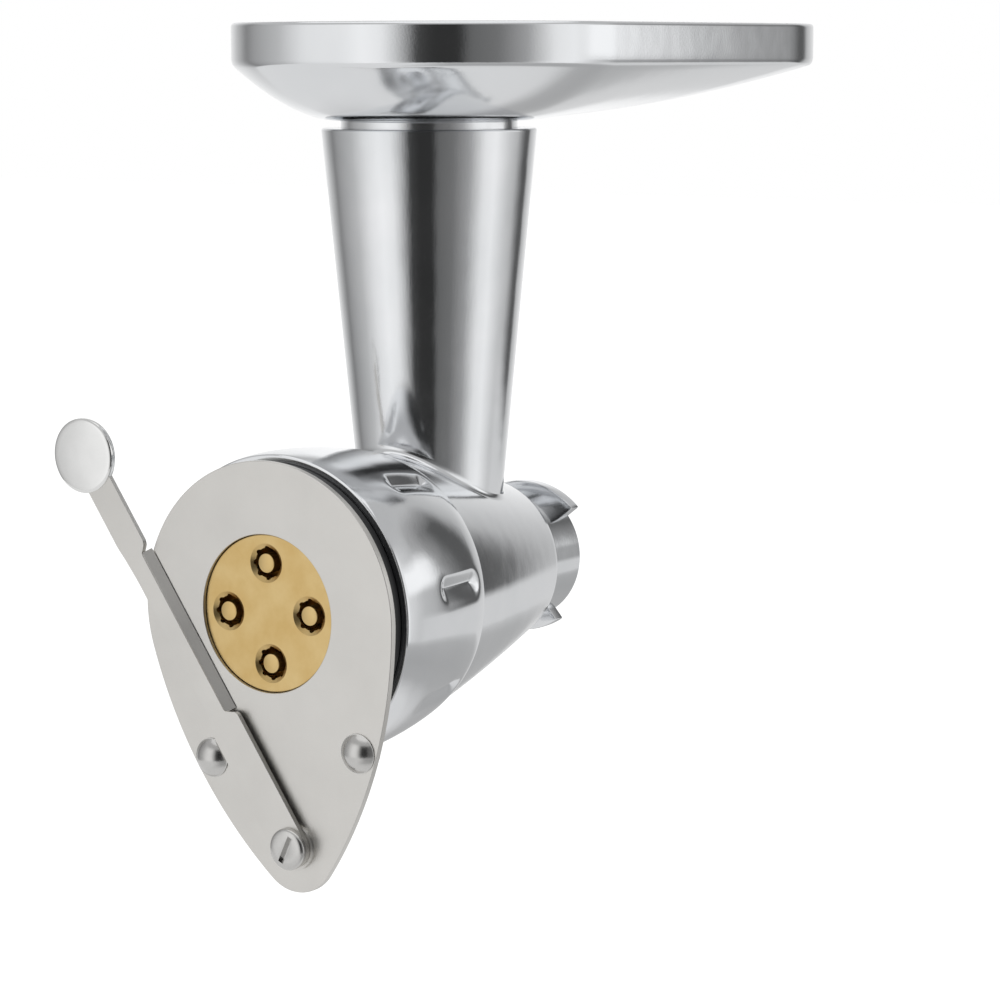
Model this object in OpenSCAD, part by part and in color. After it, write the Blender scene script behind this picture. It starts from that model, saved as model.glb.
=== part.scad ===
// Pasta press for a stand mixer: a feed tube with a tray on top, a barrel with a screw in it,
// a brass die held by a ring nut, and a cutter plate with a swinging lever in front.
// Origin on the barrel axis at the shoulder that meets the mixer; +Z up, the die faces -Y.

/* [Feed tube] */
// Height of the feed tube's rim above the barrel axis
tube_height = 130; // [110:1:150]
// Outer radius of the feed tube at its rim
tube_rim_r = 31; // [30:0.5:34]
// Outer radius that the feed tube's taper reaches on the barrel axis
tube_foot_r = 18.6; // [17.5:0.1:20]
// Distance from the mixer shoulder forward to the feed tube's axis
tube_setback = 32.5; // [31:0.5:36]
// Wall of the feed tube below the tray's socket
tube_wall = 3.8; // [3:0.1:4.5]

/* [Barrel] */
// Outer radius of the casting at its rear shoulder
shoulder_r = 24.6; // [24:0.1:27]
// Step of the casting's outside above the thread's crests, where the ring nut begins
barrel_step = 3.1; // [2:0.1:3.5]
// Distance from the mixer shoulder to the ring nut's rear edge
ring_rear = 62.5; // [60:0.5:66]
// Radius of the barrel's threaded front, to the thread's crests
thread_r = 35.5; // [34:0.1:36.5]
// Radius of the screw's bore at its rear end
bore_rear_r = 18.5; // [17:0.5:19]
// Radius of the screw's bore at the die
bore_front_r = 23.5; // [22.5:0.1:24]
// Distance from the mixer shoulder to the bottom of the screw's bore
bore_bottom = 12; // [10:0.5:14]
// Number of grooves along the bore, which keep the dough from turning
bore_grooves = 6; // [4:1:8]

/* [Mixer spigot] */
// Radius of the spigot that plugs into the mixer
spigot_r = 20; // [19:0.1:21]
// Length of the spigot
spigot_length = 18; // [16:0.5:22]
// Outer radius of the bayonet lugs
lug_r = 24.7; // [23:0.1:24.9]
// Thickness of a bayonet lug
lug_thick = 4.2; // [3:0.1:5]
// Angle that one bayonet lug spans
lug_span = 97; // [60:1:110]
// Tilt of a bayonet lug, which draws the spigot in as it turns
lug_tilt = 5.6; // [0:0.1:7]
// Radius of the hollow in the spigot that holds the drive coupling
coupling_room_r = 16; // [15:0.5:16.5]

/* [Screw and drive] */
// Gap between the screw's flight and the bore
flight_gap = 0.6; // [0.4:0.1:1]
// Forward travel of the flight in one turn
flight_pitch = 24; // [20:1:30]
// Radius of the screw's core at its rear end
core_rear_r = 9.5; // [9:0.5:11]
// Radius of the screw's core at the die
core_front_r = 14; // [12:0.5:16]
// Radius of the drive shaft
shaft_r = 6; // [5:0.5:6.5]
// Width across the flats of the shaft's square tail
tail_flats = 8; // [7:0.2:8.4]
// Radius of the drive coupling
coupling_r = 14; // [12:0.5:14.5]
// Width of the slot that takes the mixer's drive tongue
drive_slot = 6; // [5:0.5:7]

/* [Die] */
// Radius of the die's flange
die_flange_r = 26.3; // [25.6:0.1:28]
// Thickness of the die's flange
die_flange = 6; // [4:0.5:7]
// Radius of the die's face
die_face_r = 21.6; // [20:0.1:21.9]
// Radius of the circle on which the openings lie
opening_pitch_r = 13.85; // [12:0.1:14.5]
// Number of openings in the die
openings = 4; // [3:1:5]
// Radius of the fluted opening at the bottom of its flutes
opening_r = 4.2; // [3.8:0.1:4.6]
// Radius of the pin in the middle of each opening
mandrel_r = 2.5; // [2:0.1:2.8]
// Number of flutes round an opening
flutes = 8; // [6:1:10]

/* [Ring nut] */
// Length of the ring nut
ring_length = 43.2; // [40:0.2:46]
// Wall of the ring nut outside the thread's crests at its front edge
ring_front_wall = 8; // [7:0.1:9]
// Wall of the ring nut outside the thread's crests at its rear edge
ring_rear_wall = 3.8; // [3.6:0.1:4.5]
// Rise of the ring nut's crowned outside above a straight taper
ring_crown = 1.65; // [1:0.05:2]
// Thickness of the ring nut's front flange
ring_flange = 4.7; // [4.2:0.1:6]
// Radius of the opening in the ring nut's flange
ring_opening_r = 24.5; // [24.3:0.1:25.2]
// Number of grip notches round the ring nut
notches = 8; // [6:1:10]
// Distance from the ring nut's rear edge forward to the front end of a notch's valley
notch_reach = 23.5; // [20:0.5:26]
// Depth of a notch at the front end of its valley
notch_depth = 1.9; // [1.2:0.1:2.4]
// Half width of a notch for each unit of its depth
notch_spread = 2.1; // [1.5:0.1:3]

/* [Cutter plate] */
// Radius of the cutter plate's round upper part
plate_r = 42; // [41.5:0.5:44]
// Thickness of the cutter plate
plate_thick = 2; // [1.5:0.1:2.5]
// Distance from the barrel axis to the lever's pivot
pivot_drop = 64.4; // [62:0.2:68]
// Radius of the cutter plate's tip
tip_r = 12.9; // [11:0.1:14]
// Radius of the long side curves that join the round to the tip
side_r = 130; // [120:5:160]
// Tilt of the hanging cutter plate about the barrel axis
plate_tilt = 8.2; // [0:0.2:20]
// Thickness of the clip ring between the ring nut and the plate
clip_thick = 3.6; // [3.4:0.1:5]
// Outer radius of the clip ring
clip_r = 41.2; // [39:0.1:41.4]
// Radius of a stop stud's domed head
stud_r = 5.5; // [4.5:0.1:6]
// Height of a stop stud's domed head
stud_height = 3; // [2.4:0.1:3.4]
// Distance of each stop stud to the side of the plate's centre line
stud_side = 25.3; // [24:0.1:27]
// Distance of the stop studs below the barrel axis
stud_drop = 39.1; // [38:0.1:41]

/* [Lever] */
// Distance from the pivot to the middle of the knob
lever_reach = 125.4; // [115:0.2:135]
// Thickness of the lever's strip
strip_thick = 1.5; // [1.2:0.1:2]
// Width of the strip round the pivot
foot_width = 11.2; // [10:0.2:12]
// Width of the strip above the blade
neck_width = 9.2; // [8:0.2:10]
// Distance from the pivot to the lower end of the blade
blade_start = 41; // [41:0.5:44]
// Distance from the pivot to the upper end of the blade
blade_end = 92.5; // [88:0.5:96]
// Radius of the knob
knob_r = 10.6; // [9.5:0.1:12]
// Height of the knob's rim above the strip
knob_rise = 1.2; // [0.8:0.1:2.4]
// Radius of the pivot screw's head
head_r = 5.8; // [5:0.1:6.5]
// Height of the pivot screw's head
head_height = 2.2; // [1.8:0.1:3]
// Radius of the pivot screw's shank
pivot_shank_r = 2.5; // [2:0.1:2.8]

/* [Tray] */
// Half width of the tray
tray_half = 60; // [57:1:66]
// Reach of the tray in front of the feed tube's axis
tray_front = 50.4; // [48:0.2:60]
// Reach of the tray behind the feed tube's axis
tray_back = 161.6; // [140:0.2:175]
// Radius of the tray's corners, seen from above
tray_corner_r = 54; // [44:1:55]
// Height of the tray's upright rim
rim_height = 12.7; // [10:0.1:16]
// Fall of the tray's floor from the rim to the feed tube
tray_fall = 15; // [12:0.2:20]
// Thickness of the tray's sheet
tray_wall = 2; // [1.6:0.1:2.6]
// Outer radius of the neck that plugs into the feed tube
neck_r = 25.4; // [24.8:0.1:25.9]
// Wall of the tray's neck
neck_wall = 2.2; // [1.8:0.1:2.6]
// Length of the neck inside the feed tube
neck_depth = 18; // [12:0.5:24]
// Height of the open groove between the feed tube's rim and the tray
tray_groove = 2.2; // [1.5:0.1:3]

/* [Hidden] */
$fn = 96;
// Clearance of a sliding fit between round pieces
slide_gap = 0.15;
// Clearance of a turning fit on a journal
run_gap = 0.06;
// Clearance between pieces that pass each other without guiding
free_gap = 0.3;
// Small edge break on turned and cast rims
edge = 0.6;
// Amount by which a cut runs past the face it opens
over = 1;

ring_front = ring_rear + ring_length;
barrel_r = thread_r + barrel_step;
ring_front_r = thread_r + ring_front_wall;
ring_rear_r = thread_r + ring_rear_wall;
die_back = ring_front - ring_flange - die_flange;
die_seat = 3;
barrel_front = die_back + die_seat;
plate_back = ring_front + free_gap + clip_thick;
plate_front = plate_back + plate_thick;
die_recess = 1.1;
die_face = plate_front - die_recess;

key_r = 2;
key_depth = 4;
bush_wall = 3.5;
bush_reach = 4;
bush_r = shaft_r + bush_wall;
bush_flange_r = bush_r + bush_reach;
bush_flange = 1.5;
washer_thick = 1.5;
screw_back = bore_bottom + bush_flange + washer_thick + free_gap;
screw_front = die_back - 3;
coupling_floor = -4;
coupling_front = coupling_floor - 1;
drive_slot_depth = 6;
coupling_back = -spigot_length + 0.5;
tail_end = coupling_back + drive_slot_depth + 0.5;
nose_r = 4;
nose_depth = 5;

clip_sleeve_r = ring_opening_r - free_gap;
clip_bead_r = clip_sleeve_r + 0.8;
clip_bead_from = ring_front - 2.6;
clip_bead_wide = 1;
clip_bore_r = die_face_r + free_gap;
rivet_r = 2;
ear_r = 4.6;
ear_thick = 2.15;
burr_r = 4;
burr_thick = 0.6;
tail_r = 3;
tail_thick = 0.8;

collar_thick = 0.6;
spring_thick = 0.45;
strip_back = plate_front + collar_thick + spring_thick;
strip_front = strip_back + strip_thick;
journal_r = 4;
collar_r = 6;
stop_gap = 0.3;
stud_reach = norm([stud_side, pivot_drop - stud_drop]);
stud_angle = atan2(stud_side, pivot_drop - stud_drop);
swing = stud_angle - asin((foot_width / 2 + stud_r + stop_gap) / stud_reach);

tray_base = tube_height + tray_groove;
crease_z = tray_base + tray_fall;
rim_z = crease_z + rim_height;
neck_bore_r = neck_r - neck_wall;
socket_r = neck_r + slide_gap;

// Turns a shape drawn round the z axis to the barrel axis, with z running forward to the die
module forward() {
    rotate([90, 0, 0]) children();
}

// Places a shape in the frame of the hanging cutter plate, whose pivot lies straight below
module plate_frame() {
    forward() rotate([0, 0, plate_tilt]) children();
}

// Places a shape in the frame of the lever, whose strip runs up the y axis from the pivot
module lever_frame() {
    plate_frame() translate([0, -pivot_drop, 0]) rotate([0, 0, swing]) children();
}

// A round bar along z between two distances
module bar(r, from, to) {
    translate([0, 0, from]) cylinder(r = r, h = to - from);
}

// A ring about z between two distances
module sleeve(r, bore, from, to) {
    difference() {
        bar(r, from, to);
        bar(bore, from - over, to + over);
    }
}

// Copies a shape at equal steps round the z axis
module ring_of(count, first = 0) {
    for (i = [0:count - 1]) rotate([0, 0, first + i * 360 / count]) children();
}

function bore_r(d) =
    bore_rear_r + (bore_front_r - bore_rear_r) * (d - bore_bottom) / (die_back - bore_bottom);

module barrel_outside() {
    rotate_extrude() polygon([
        [0, -spigot_length],
        [spigot_r - edge, -spigot_length],
        [spigot_r, -spigot_length + edge],
        [spigot_r, 0],
        [shoulder_r - 1.8, 0],
        [shoulder_r - 0.6, 0.5],
        [shoulder_r + 0.3, 2],
        [barrel_r, ring_rear - free_gap],
        [thread_r, ring_rear - free_gap],
        [thread_r, barrel_front - 1.5],
        [thread_r - 1.5, barrel_front],
        [0, barrel_front]
    ]);
}

// Two opposite lugs, each a tilted slab cut to a sector round the spigot
module bayonet_lugs() {
    lug_middle = 86.3;
    lug_room = 8;
    for (side = [0, 1]) rotate([0, 0, 180 * side + lug_middle]) intersection() {
        rotate([0, 0, -lug_span / 2]) rotate_extrude(angle = lug_span)
            translate([spigot_r - over, -spigot_length]) square([lug_r - spigot_r + over, lug_room]);
        translate([0, 0, -spigot_length + lug_room / 2]) rotate([lug_tilt, 0, 0])
            cube([4 * lug_r, 4 * lug_r, lug_thick], center = true);
    }
}

module barrel_inside() {
    slope = atan((bore_front_r - bore_rear_r) / (die_back - bore_bottom));
    groove_r = 1.4;
    translate([0, 0, bore_bottom])
        cylinder(r1 = bore_rear_r, r2 = bore_front_r, h = die_back - bore_bottom + 0.01);
    bar(die_flange_r + slide_gap, die_back, barrel_front + over);
    ring_of(bore_grooves, 30)
        translate([bore_rear_r, 0, bore_bottom])
            rotate([0, slope, 0])
                cylinder(r = groove_r, h = die_back - bore_bottom + over);
    bar(bush_r, coupling_floor - over, bore_bottom + over);
    bar(coupling_room_r, -spigot_length - over, coupling_floor);
    translate([0, -die_flange_r, 0]) bar(key_r, die_back - key_depth, barrel_front + over);
}

module tube_outside() {
    rotate_extrude() polygon([
        [0, 0],
        [tube_foot_r, 0],
        [tube_rim_r, tube_height - edge],
        [tube_rim_r - edge, tube_height],
        [0, tube_height]
    ]);
}

module tube_inside() {
    ledge_z = tube_height - neck_depth;
    rotate_extrude() polygon([
        [0, 0],
        [tube_foot_r - tube_wall, 0],
        [neck_bore_r, ledge_z],
        [socket_r, ledge_z],
        [socket_r, tube_height - edge],
        [socket_r + edge, tube_height],
        [socket_r + edge, tube_height + over],
        [0, tube_height + over]
    ]);
}

module body() {
    color([0.78, 0.79, 0.8]) difference() {
        union() {
            forward() barrel_outside();
            forward() bayonet_lugs();
            translate([0, -tube_setback, 0]) tube_outside();
        }
        forward() barrel_inside();
        translate([0, -tube_setback, 0]) tube_inside();
    }
}

module key_pin() {
    color("silver") forward()
        translate([0, -die_flange_r, 0]) bar(key_r, die_back - key_depth, barrel_front - 0.5);
}

module rear_bush() {
    color([0.93, 0.93, 0.9]) forward() difference() {
        union() {
            bar(bush_r, coupling_floor, bore_bottom);
            bar(bush_flange_r, bore_bottom, bore_bottom + bush_flange);
        }
        bar(shaft_r + run_gap, coupling_floor - over, bore_bottom + bush_flange + over);
    }
}

module thrust_washer() {
    color([0.72, 0.5, 0.25]) forward() sleeve(bush_flange_r - 0.5, shaft_r + slide_gap,
        bore_bottom + bush_flange, bore_bottom + bush_flange + washer_thick);
}

// Straight stretch between two points, without its ends
function stretch(from, to, steps) = [for (k = [1:steps - 1]) from + (to - from) * k / steps];

// Quarter round of the tray's corner: side is +1 right or -1 left, end is +1 rear or -1 front
function tray_corner(side, end, inset, first) = let (
        r = tray_corner_r - inset,
        centre = [side * (tray_half - tray_corner_r),
                  end > 0 ? tray_back - tray_corner_r : tray_corner_r - tray_front]
    ) [for (k = [0:corner_steps]) let (a = first + 90 * k / corner_steps) centre + r * [cos(a), sin(a)]];

corner_steps = 12;
side_steps = 18;
end_steps = 3;

// Rounded rectangle of the tray as seen from above, inset by a distance
function tray_outline(inset) = let (
        front_right = tray_corner(1, -1, inset, 270),
        rear_right = tray_corner(1, 1, inset, 0),
        rear_left = tray_corner(-1, 1, inset, 90),
        front_left = tray_corner(-1, -1, inset, 180),
        last = corner_steps
    ) concat(
        front_right, stretch(front_right[last], rear_right[0], side_steps),
        rear_right, stretch(rear_right[last], rear_left[0], end_steps),
        rear_left, stretch(rear_left[last], front_left[0], side_steps),
        front_left, stretch(front_left[last], front_right[0], end_steps));

// One level of the tray's shell: a blend from a circle round the neck to the inset outline
function tray_level(blend, inset, neck, z) = let (rim = tray_outline(0), outline = tray_outline(inset))
    [for (i = [0:len(rim) - 1]) let (
        at_neck = rim[i] * neck / norm(rim[i]),
        at = at_neck + (outline[i] - at_neck) * blend
    ) [at[0], at[1], z]];

function floor_rise(blend) = tray_fall * pow(blend, 1.7);

module tray_shell() {
    n = len(tray_outline(0));
    floor_steps = 8;
    collar = neck_r + 2.2;
    hole = neck_r - neck_wall / 2;
    last = 0.96;
    outside = concat(
        [for (k = [0:floor_steps]) let (b = last * k / floor_steps)
            tray_level(b, 0, collar, tray_base + floor_rise(b))],
        [tray_level(1, 0.7, collar, crease_z + 0.4),
         tray_level(1, 0, collar, crease_z + 2.4),
         tray_level(1, 0, collar, rim_z - 1.2),
         tray_level(1, 0.35, collar, rim_z - 0.35),
         tray_level(1, 1.1, collar, rim_z)]);
    inside = concat(
        [tray_level(1, 1.9, collar, rim_z - 0.35),
         tray_level(1, 2.2, collar, rim_z - 1.2),
         tray_level(1, 2.2, collar, crease_z + tray_wall + 1.8)],
        [for (k = [0:floor_steps]) let (b = 0.95 * (1 - k / floor_steps))
            tray_level(b, tray_wall, hole, tray_base + tray_wall + floor_rise(b))]);
    levels = concat(outside, inside);
    count = len(levels);
    points = [for (level = levels) each level];
    faces = [for (k = [0:count - 1], i = [0:n - 1]) let (
            a = k * n + i,
            b = k * n + (i + 1) % n,
            c = ((k + 1) % count) * n + (i + 1) % n,
            d = ((k + 1) % count) * n + i
        ) each [[a, c, b], [a, d, c]]];
    polyhedron(points = points, faces = faces);
}

module hopper_tray() {
    floor_top = tray_base + tray_wall;
    color([0.8, 0.81, 0.82]) translate([0, -tube_setback, 0]) difference() {
        union() {
            tray_shell();
            bar(neck_r, tube_height - neck_depth, floor_top);
        }
        bar(neck_bore_r, tube_height - neck_depth - over, floor_top + over);
    }
}

// Radius of the screw's core at a distance, with a rounded nose at the front
function core_r(d) = let (t = (d - screw_back) / (screw_front - screw_back))
    core_rear_r + (core_front_r - core_rear_r) * t;

// One cross-section of the screw: the core with the flight's tooth at an angle
function screw_section(d) = let (
        core = core_r(d),
        rim = bore_r(d) - flight_gap,
        phase = -360 * (d - screw_back) / flight_pitch,
        core_points = 11,
        root = 42
    ) concat(
        [for (a = [-24, -8, 8, 24]) [rim * cos(phase + a), rim * sin(phase + a), d]],
        [for (j = [0:core_points]) let (a = phase + root + (360 - 2 * root) * j / core_points)
            [core * cos(a), core * sin(a), d]]);

module screw_spiral() {
    per_turn = 24;
    steps = round((screw_front - screw_back) / flight_pitch * per_turn);
    sections = [for (k = [0:steps]) screw_section(screw_back + (screw_front - screw_back) * k / steps)];
    n = len(sections[0]);
    points = [for (section = sections) each section];
    sides = [for (k = [0:steps - 1], i = [0:n - 1]) let (
            a = k * n + i,
            b = k * n + (i + 1) % n,
            c = (k + 1) * n + (i + 1) % n,
            d = (k + 1) * n + i
        ) each [[a, c, b], [a, d, c]]];
    rear_cap = [[for (i = [0:n - 1]) i]];
    front_cap = [[for (i = [n - 1:-1:0]) steps * n + i]];
    polyhedron(points = points, faces = concat(sides, rear_cap, front_cap));
}

shaft_in_screw = 40;
screw_pin_r = 2;
screw_pin_place = screw_back + 9;

module pasta_screw() {
    color([0.75, 0.76, 0.78]) forward() difference() {
        screw_spiral();
        bar(shaft_r, screw_back - over, screw_back + shaft_in_screw);
        bar(nose_r, screw_front - 12, screw_front + over);
        translate([0, 0, screw_pin_place]) rotate([0, 90, 0])
            cylinder(r = screw_pin_r, h = 4 * bore_front_r, center = true);
    }
}

module nose_pin() {
    color("silver") forward() {
        bar(nose_r, screw_front - 12, die_back + nose_depth - 1.5);
    }
}

module drive_shaft() {
    color("silver") forward() difference() {
        union() {
            bar(shaft_r, coupling_floor, screw_back + shaft_in_screw);
            translate([-tail_flats / 2, -tail_flats / 2, tail_end])
                cube([tail_flats, tail_flats, coupling_floor - tail_end + over]);
        }
        translate([0, 0, screw_pin_place]) rotate([0, 90, 0])
            cylinder(r = screw_pin_r, h = 4 * shaft_r, center = true);
        coupling_pin_hole(over);
    }
}

module screw_pin() {
    color("silver") forward() translate([0, 0, screw_pin_place]) rotate([0, 90, 0])
        cylinder(r = screw_pin_r, h = 2 * core_rear_r - 1, center = true);
}

coupling_pin_r = 1.5;
coupling_pin_place = coupling_front - 2.6;

module coupling_pin_hole(extra = 0) {
    translate([0, 0, coupling_pin_place]) rotate([0, 90, 0])
        cylinder(r = coupling_pin_r, h = 2 * coupling_r - 2 + 2 * extra, center = true);
}

module drive_coupling() {
    color([0.92, 0.91, 0.86]) forward() difference() {
        bar(coupling_r, coupling_back, coupling_front);
        translate([-tail_flats / 2, -tail_flats / 2, tail_end])
            cube([tail_flats, tail_flats, coupling_front - tail_end + over]);
        translate([-drive_slot / 2, -coupling_r - over, coupling_back - over])
            cube([drive_slot, 2 * coupling_r + 2 * over, drive_slot_depth + over]);
        coupling_pin_hole(2 * over);
    }
}

module coupling_pin() {
    color("silver") forward() coupling_pin_hole();
}

// Fluted hole of one die opening
module flute_shape() {
    flute_r = 0.75;
    circle(r = opening_r - flute_r);
    ring_of(flutes, 360 / flutes / 2) translate([opening_r - flute_r, 0]) circle(r = flute_r);
}

insert_wall = 1.2;
insert_length = 5;
insert_r = opening_r + insert_wall;
insert_back = die_face - insert_length;
dish_depth = 1.5;
first_opening = 2.6;

module at_openings() {
    rotate([0, 0, first_opening]) ring_of(openings) translate([opening_pitch_r, 0, 0]) children();
}

module die() {
    color([0.82, 0.66, 0.4]) forward() difference() {
        union() {
            bar(die_flange_r, die_back, die_back + die_flange);
            rotate_extrude() polygon([
                [0, die_back],
                [die_face_r, die_back],
                [die_face_r, die_face - 0.4],
                [die_face_r - 0.4, die_face],
                [0, die_face]
            ]);
        }
        bar(nose_r + run_gap, die_back - over, die_back + nose_depth);
        translate([0, -die_flange_r, 0]) bar(key_r + free_gap, die_back - over, barrel_front + 0.2);
        at_openings() bar(insert_r, die_back - over, die_face + over);
    }
}

// Brass inserts pressed into the die, each with a dished mouth and a fluted wall
module die_inserts() {
    color([0.84, 0.68, 0.42]) forward() at_openings() difference() {
        bar(insert_r, insert_back, die_face);
        translate([0, 0, insert_back - over]) linear_extrude(die_face - insert_back + 2 * over) flute_shape();
        translate([0, 0, die_face - dish_depth])
            cylinder(r1 = opening_r, r2 = insert_r - 0.1, h = dish_depth + 0.01);
    }
}

module die_mandrels() {
    bridge_back = die_back + 1;
    bridge_thick = 3;
    bridge_wide = 2.4;
    color([0.85, 0.7, 0.44]) forward() at_openings() {
        bar(mandrel_r, bridge_back, die_face - 0.1);
        intersection() {
            bar(insert_r, bridge_back, bridge_back + bridge_thick);
            for (a = [0, 60, 120])
                rotate([0, 0, a])
                    translate([-insert_r - over, -bridge_wide / 2, die_back])
                        cube([2 * insert_r + 2 * over, bridge_wide, 2 * bridge_thick]);
        }
    }
}

// Outer radius of the ring nut at a distance, crowned above a straight taper
function ring_outside(d) = let (t = (d - ring_rear) / ring_length)
    ring_rear_r + (ring_front_r - ring_rear_r) * t + 4 * ring_crown * t * (1 - t);

module ring_nut() {
    crown_steps = 12;
    inner_r = thread_r - 2;
    color([0.8, 0.81, 0.82]) forward() difference() {
        union() {
            rotate_extrude() polygon(concat(
                [[inner_r, ring_rear], [ring_rear_r - edge, ring_rear]],
                [for (k = [0:crown_steps]) let (
                    d = ring_rear + edge + (ring_length - 2 * edge) * k / crown_steps
                ) [ring_outside(d), d]],
                [[ring_front_r - edge, ring_front], [inner_r, ring_front]]
            ));
            sleeve(thread_r - 1, ring_opening_r, ring_front - ring_flange, ring_front);
        }
        bar(thread_r + free_gap, ring_rear - over, ring_front - ring_flange);
        translate([0, 0, ring_rear - 0.01])
            cylinder(r1 = thread_r + free_gap + 1, r2 = thread_r + free_gap, h = 1);
        bar(clip_bead_r + free_gap, clip_bead_from - free_gap, clip_bead_from + clip_bead_wide + free_gap);
        ring_of(notches, first_notch) grip_notch();
    }
}

first_notch = 9.8;

// Cutter of one grip notch: a straight valley that runs out at the rear and ends in a cone in front
module grip_notch() {
    cone_sides = 12;
    roll = -5;
    depth_rise = 4.1;
    reach = 3 * notch_depth;
    half = notch_spread * reach;
    front = ring_rear + notch_reach;
    translate([ring_outside(front) - notch_depth, 0, front]) rotate([0, 0, roll]) rotate([0, depth_rise, 0]) {
        translate([0, 0, -notch_reach]) linear_extrude(notch_reach) polygon([[0, 0], [reach, half], [reach, -half]]);
        rotate([0, 90, 0]) rotate([0, 0, 180 / cone_sides])
            cylinder(r1 = 0, r2 = half / cos(180 / cone_sides), h = reach, $fn = cone_sides);
    }
}

module at_studs() {
    for (side = [-1, 1]) translate([side * stud_side, -stud_drop, 0]) children();
}

module clip_ring() {
    ear_back = plate_back - ear_thick;
    ear_out = norm([stud_side, stud_drop]);
    ear_in = clip_r - 4;
    color([0.12, 0.12, 0.13]) plate_frame() difference() {
        union() {
            bar(clip_r, ring_front + free_gap, plate_back);
            bar(clip_sleeve_r, ring_front - ring_flange + 0.5, plate_back);
            bar(clip_bead_r, clip_bead_from, clip_bead_from + clip_bead_wide);
            translate([0, 0, ear_back]) linear_extrude(ear_thick) {
                at_studs() circle(r = ear_r);
                for (side = [-1, 1]) rotate([0, 0, side * atan2(stud_side, stud_drop)]) polygon([
                    [0.85 * ear_r, -ear_out],
                    [1.7 * ear_r, -ear_in],
                    [-1.7 * ear_r, -ear_in],
                    [-0.85 * ear_r, -ear_out]
                ]);
            }
        }
        bar(clip_bore_r, ring_front - ring_flange - over, plate_back + over);
        at_studs() bar(rivet_r, ring_front - over, plate_back + over);
    }
}

// Outline of the cutter plate: a round, a tip and two long side curves that touch both
module plate_outline() {
    lap = 0.5;
    to_round = side_r - plate_r;
    to_tip = side_r - tip_r;
    rise = (pivot_drop * pivot_drop + to_round * to_round - to_tip * to_tip) / (2 * pivot_drop);
    across = sqrt(to_round * to_round - rise * rise);
    start_y = rise - rise / to_round * side_r;
    end_y = rise + (pivot_drop - rise) / to_tip * side_r;
    circle(r = plate_r);
    translate([0, -pivot_drop]) circle(r = tip_r);
    intersection() {
        translate([-across, -rise]) circle(r = side_r);
        translate([across, -rise]) circle(r = side_r);
        translate([-plate_r, -end_y + lap]) square([2 * plate_r, end_y - start_y - 2 * lap]);
    }
}

module cutter_plate() {
    color([0.76, 0.75, 0.73]) plate_frame() difference() {
        translate([0, 0, plate_back]) linear_extrude(plate_thick) plate_outline();
        bar(clip_bore_r, plate_back - over, plate_front + over);
        at_studs() bar(rivet_r, plate_back - over, plate_front + over);
        translate([0, -pivot_drop, 0]) bar(journal_r - 0.5, plate_back - over, plate_front + over);
    }
}

// A rivet whose domed head is the lever's stop
module stop_studs() {
    dome_r = (stud_r * stud_r + stud_height * stud_height) / (2 * stud_height);
    back = plate_back - ear_thick - burr_thick;
    color([0.85, 0.85, 0.86]) plate_frame() at_studs() {
        intersection() {
            translate([0, 0, plate_front + stud_height - dome_r]) sphere(r = dome_r);
            bar(stud_r + over, plate_front, plate_front + stud_height + over);
        }
        bar(rivet_r, back - tail_thick / 2, plate_front + over);
        bar(tail_r, back - tail_thick, back);
    }
}

module rivet_burrs() {
    back = plate_back - ear_thick;
    color("silver") plate_frame() at_studs() sleeve(burr_r, rivet_r, back - burr_thick, back);
}

module pivot_bush() {
    color([0.8, 0.8, 0.8]) plate_frame() translate([0, -pivot_drop, 0]) difference() {
        union() {
            bar(journal_r - 0.5, plate_back, plate_front + over);
            bar(collar_r, plate_front, plate_front + collar_thick);
            bar(journal_r, plate_front, strip_front - 0.1);
        }
        bar(pivot_shank_r + run_gap, plate_back - over, strip_front + over);
    }
}

// A dished spring washer between the bush's collar and the strip
module spring_washer() {
    metal = 0.25;
    from = plate_front + collar_thick;
    color([0.6, 0.6, 0.62]) plate_frame() translate([0, -pivot_drop, 0])
        rotate_extrude() polygon([
            [journal_r + slide_gap, from + spring_thick - metal],
            [collar_r, from],
            [collar_r + 0.3, from + metal],
            [journal_r + slide_gap + 0.3, from + spring_thick]
        ]);
}

module pivot_screw() {
    slot_wide = 1.7;
    slot_deep = 1.2;
    slot_length = 8;
    slot_turn = -33;
    color([0.85, 0.85, 0.86]) plate_frame() translate([0, -pivot_drop, 0]) difference() {
        rotate_extrude() polygon([
            [0, plate_back - 4.2],
            [pivot_shank_r - 0.5, plate_back - 4.2],
            [pivot_shank_r, plate_back - 3.7],
            [pivot_shank_r, strip_front],
            [head_r, strip_front],
            [head_r, strip_front + head_height - edge],
            [head_r - edge, strip_front + head_height],
            [0, strip_front + head_height]
        ]);
        translate([0, 0, strip_front + head_height - slot_deep]) rotate([0, 0, slot_turn])
            translate([-slot_wide / 2, -slot_length / 2, 0])
                cube([slot_wide, slot_length, slot_deep + over]);
    }
}

module pivot_nut() {
    nut_flats = 8;
    nut_height = 3.2;
    color("silver") plate_frame() translate([0, -pivot_drop, plate_back - nut_height]) difference() {
        cylinder(r = nut_flats / sqrt(3), h = nut_height, $fn = 6);
        translate([0, 0, -over]) cylinder(r = pivot_shank_r, h = nut_height + 2 * over);
    }
}

// Width of the strip's blade stretch to the left and right of the lever's middle line
blade_left = 3.6;
blade_right = 2;
shoulder_run = 8;

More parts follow.
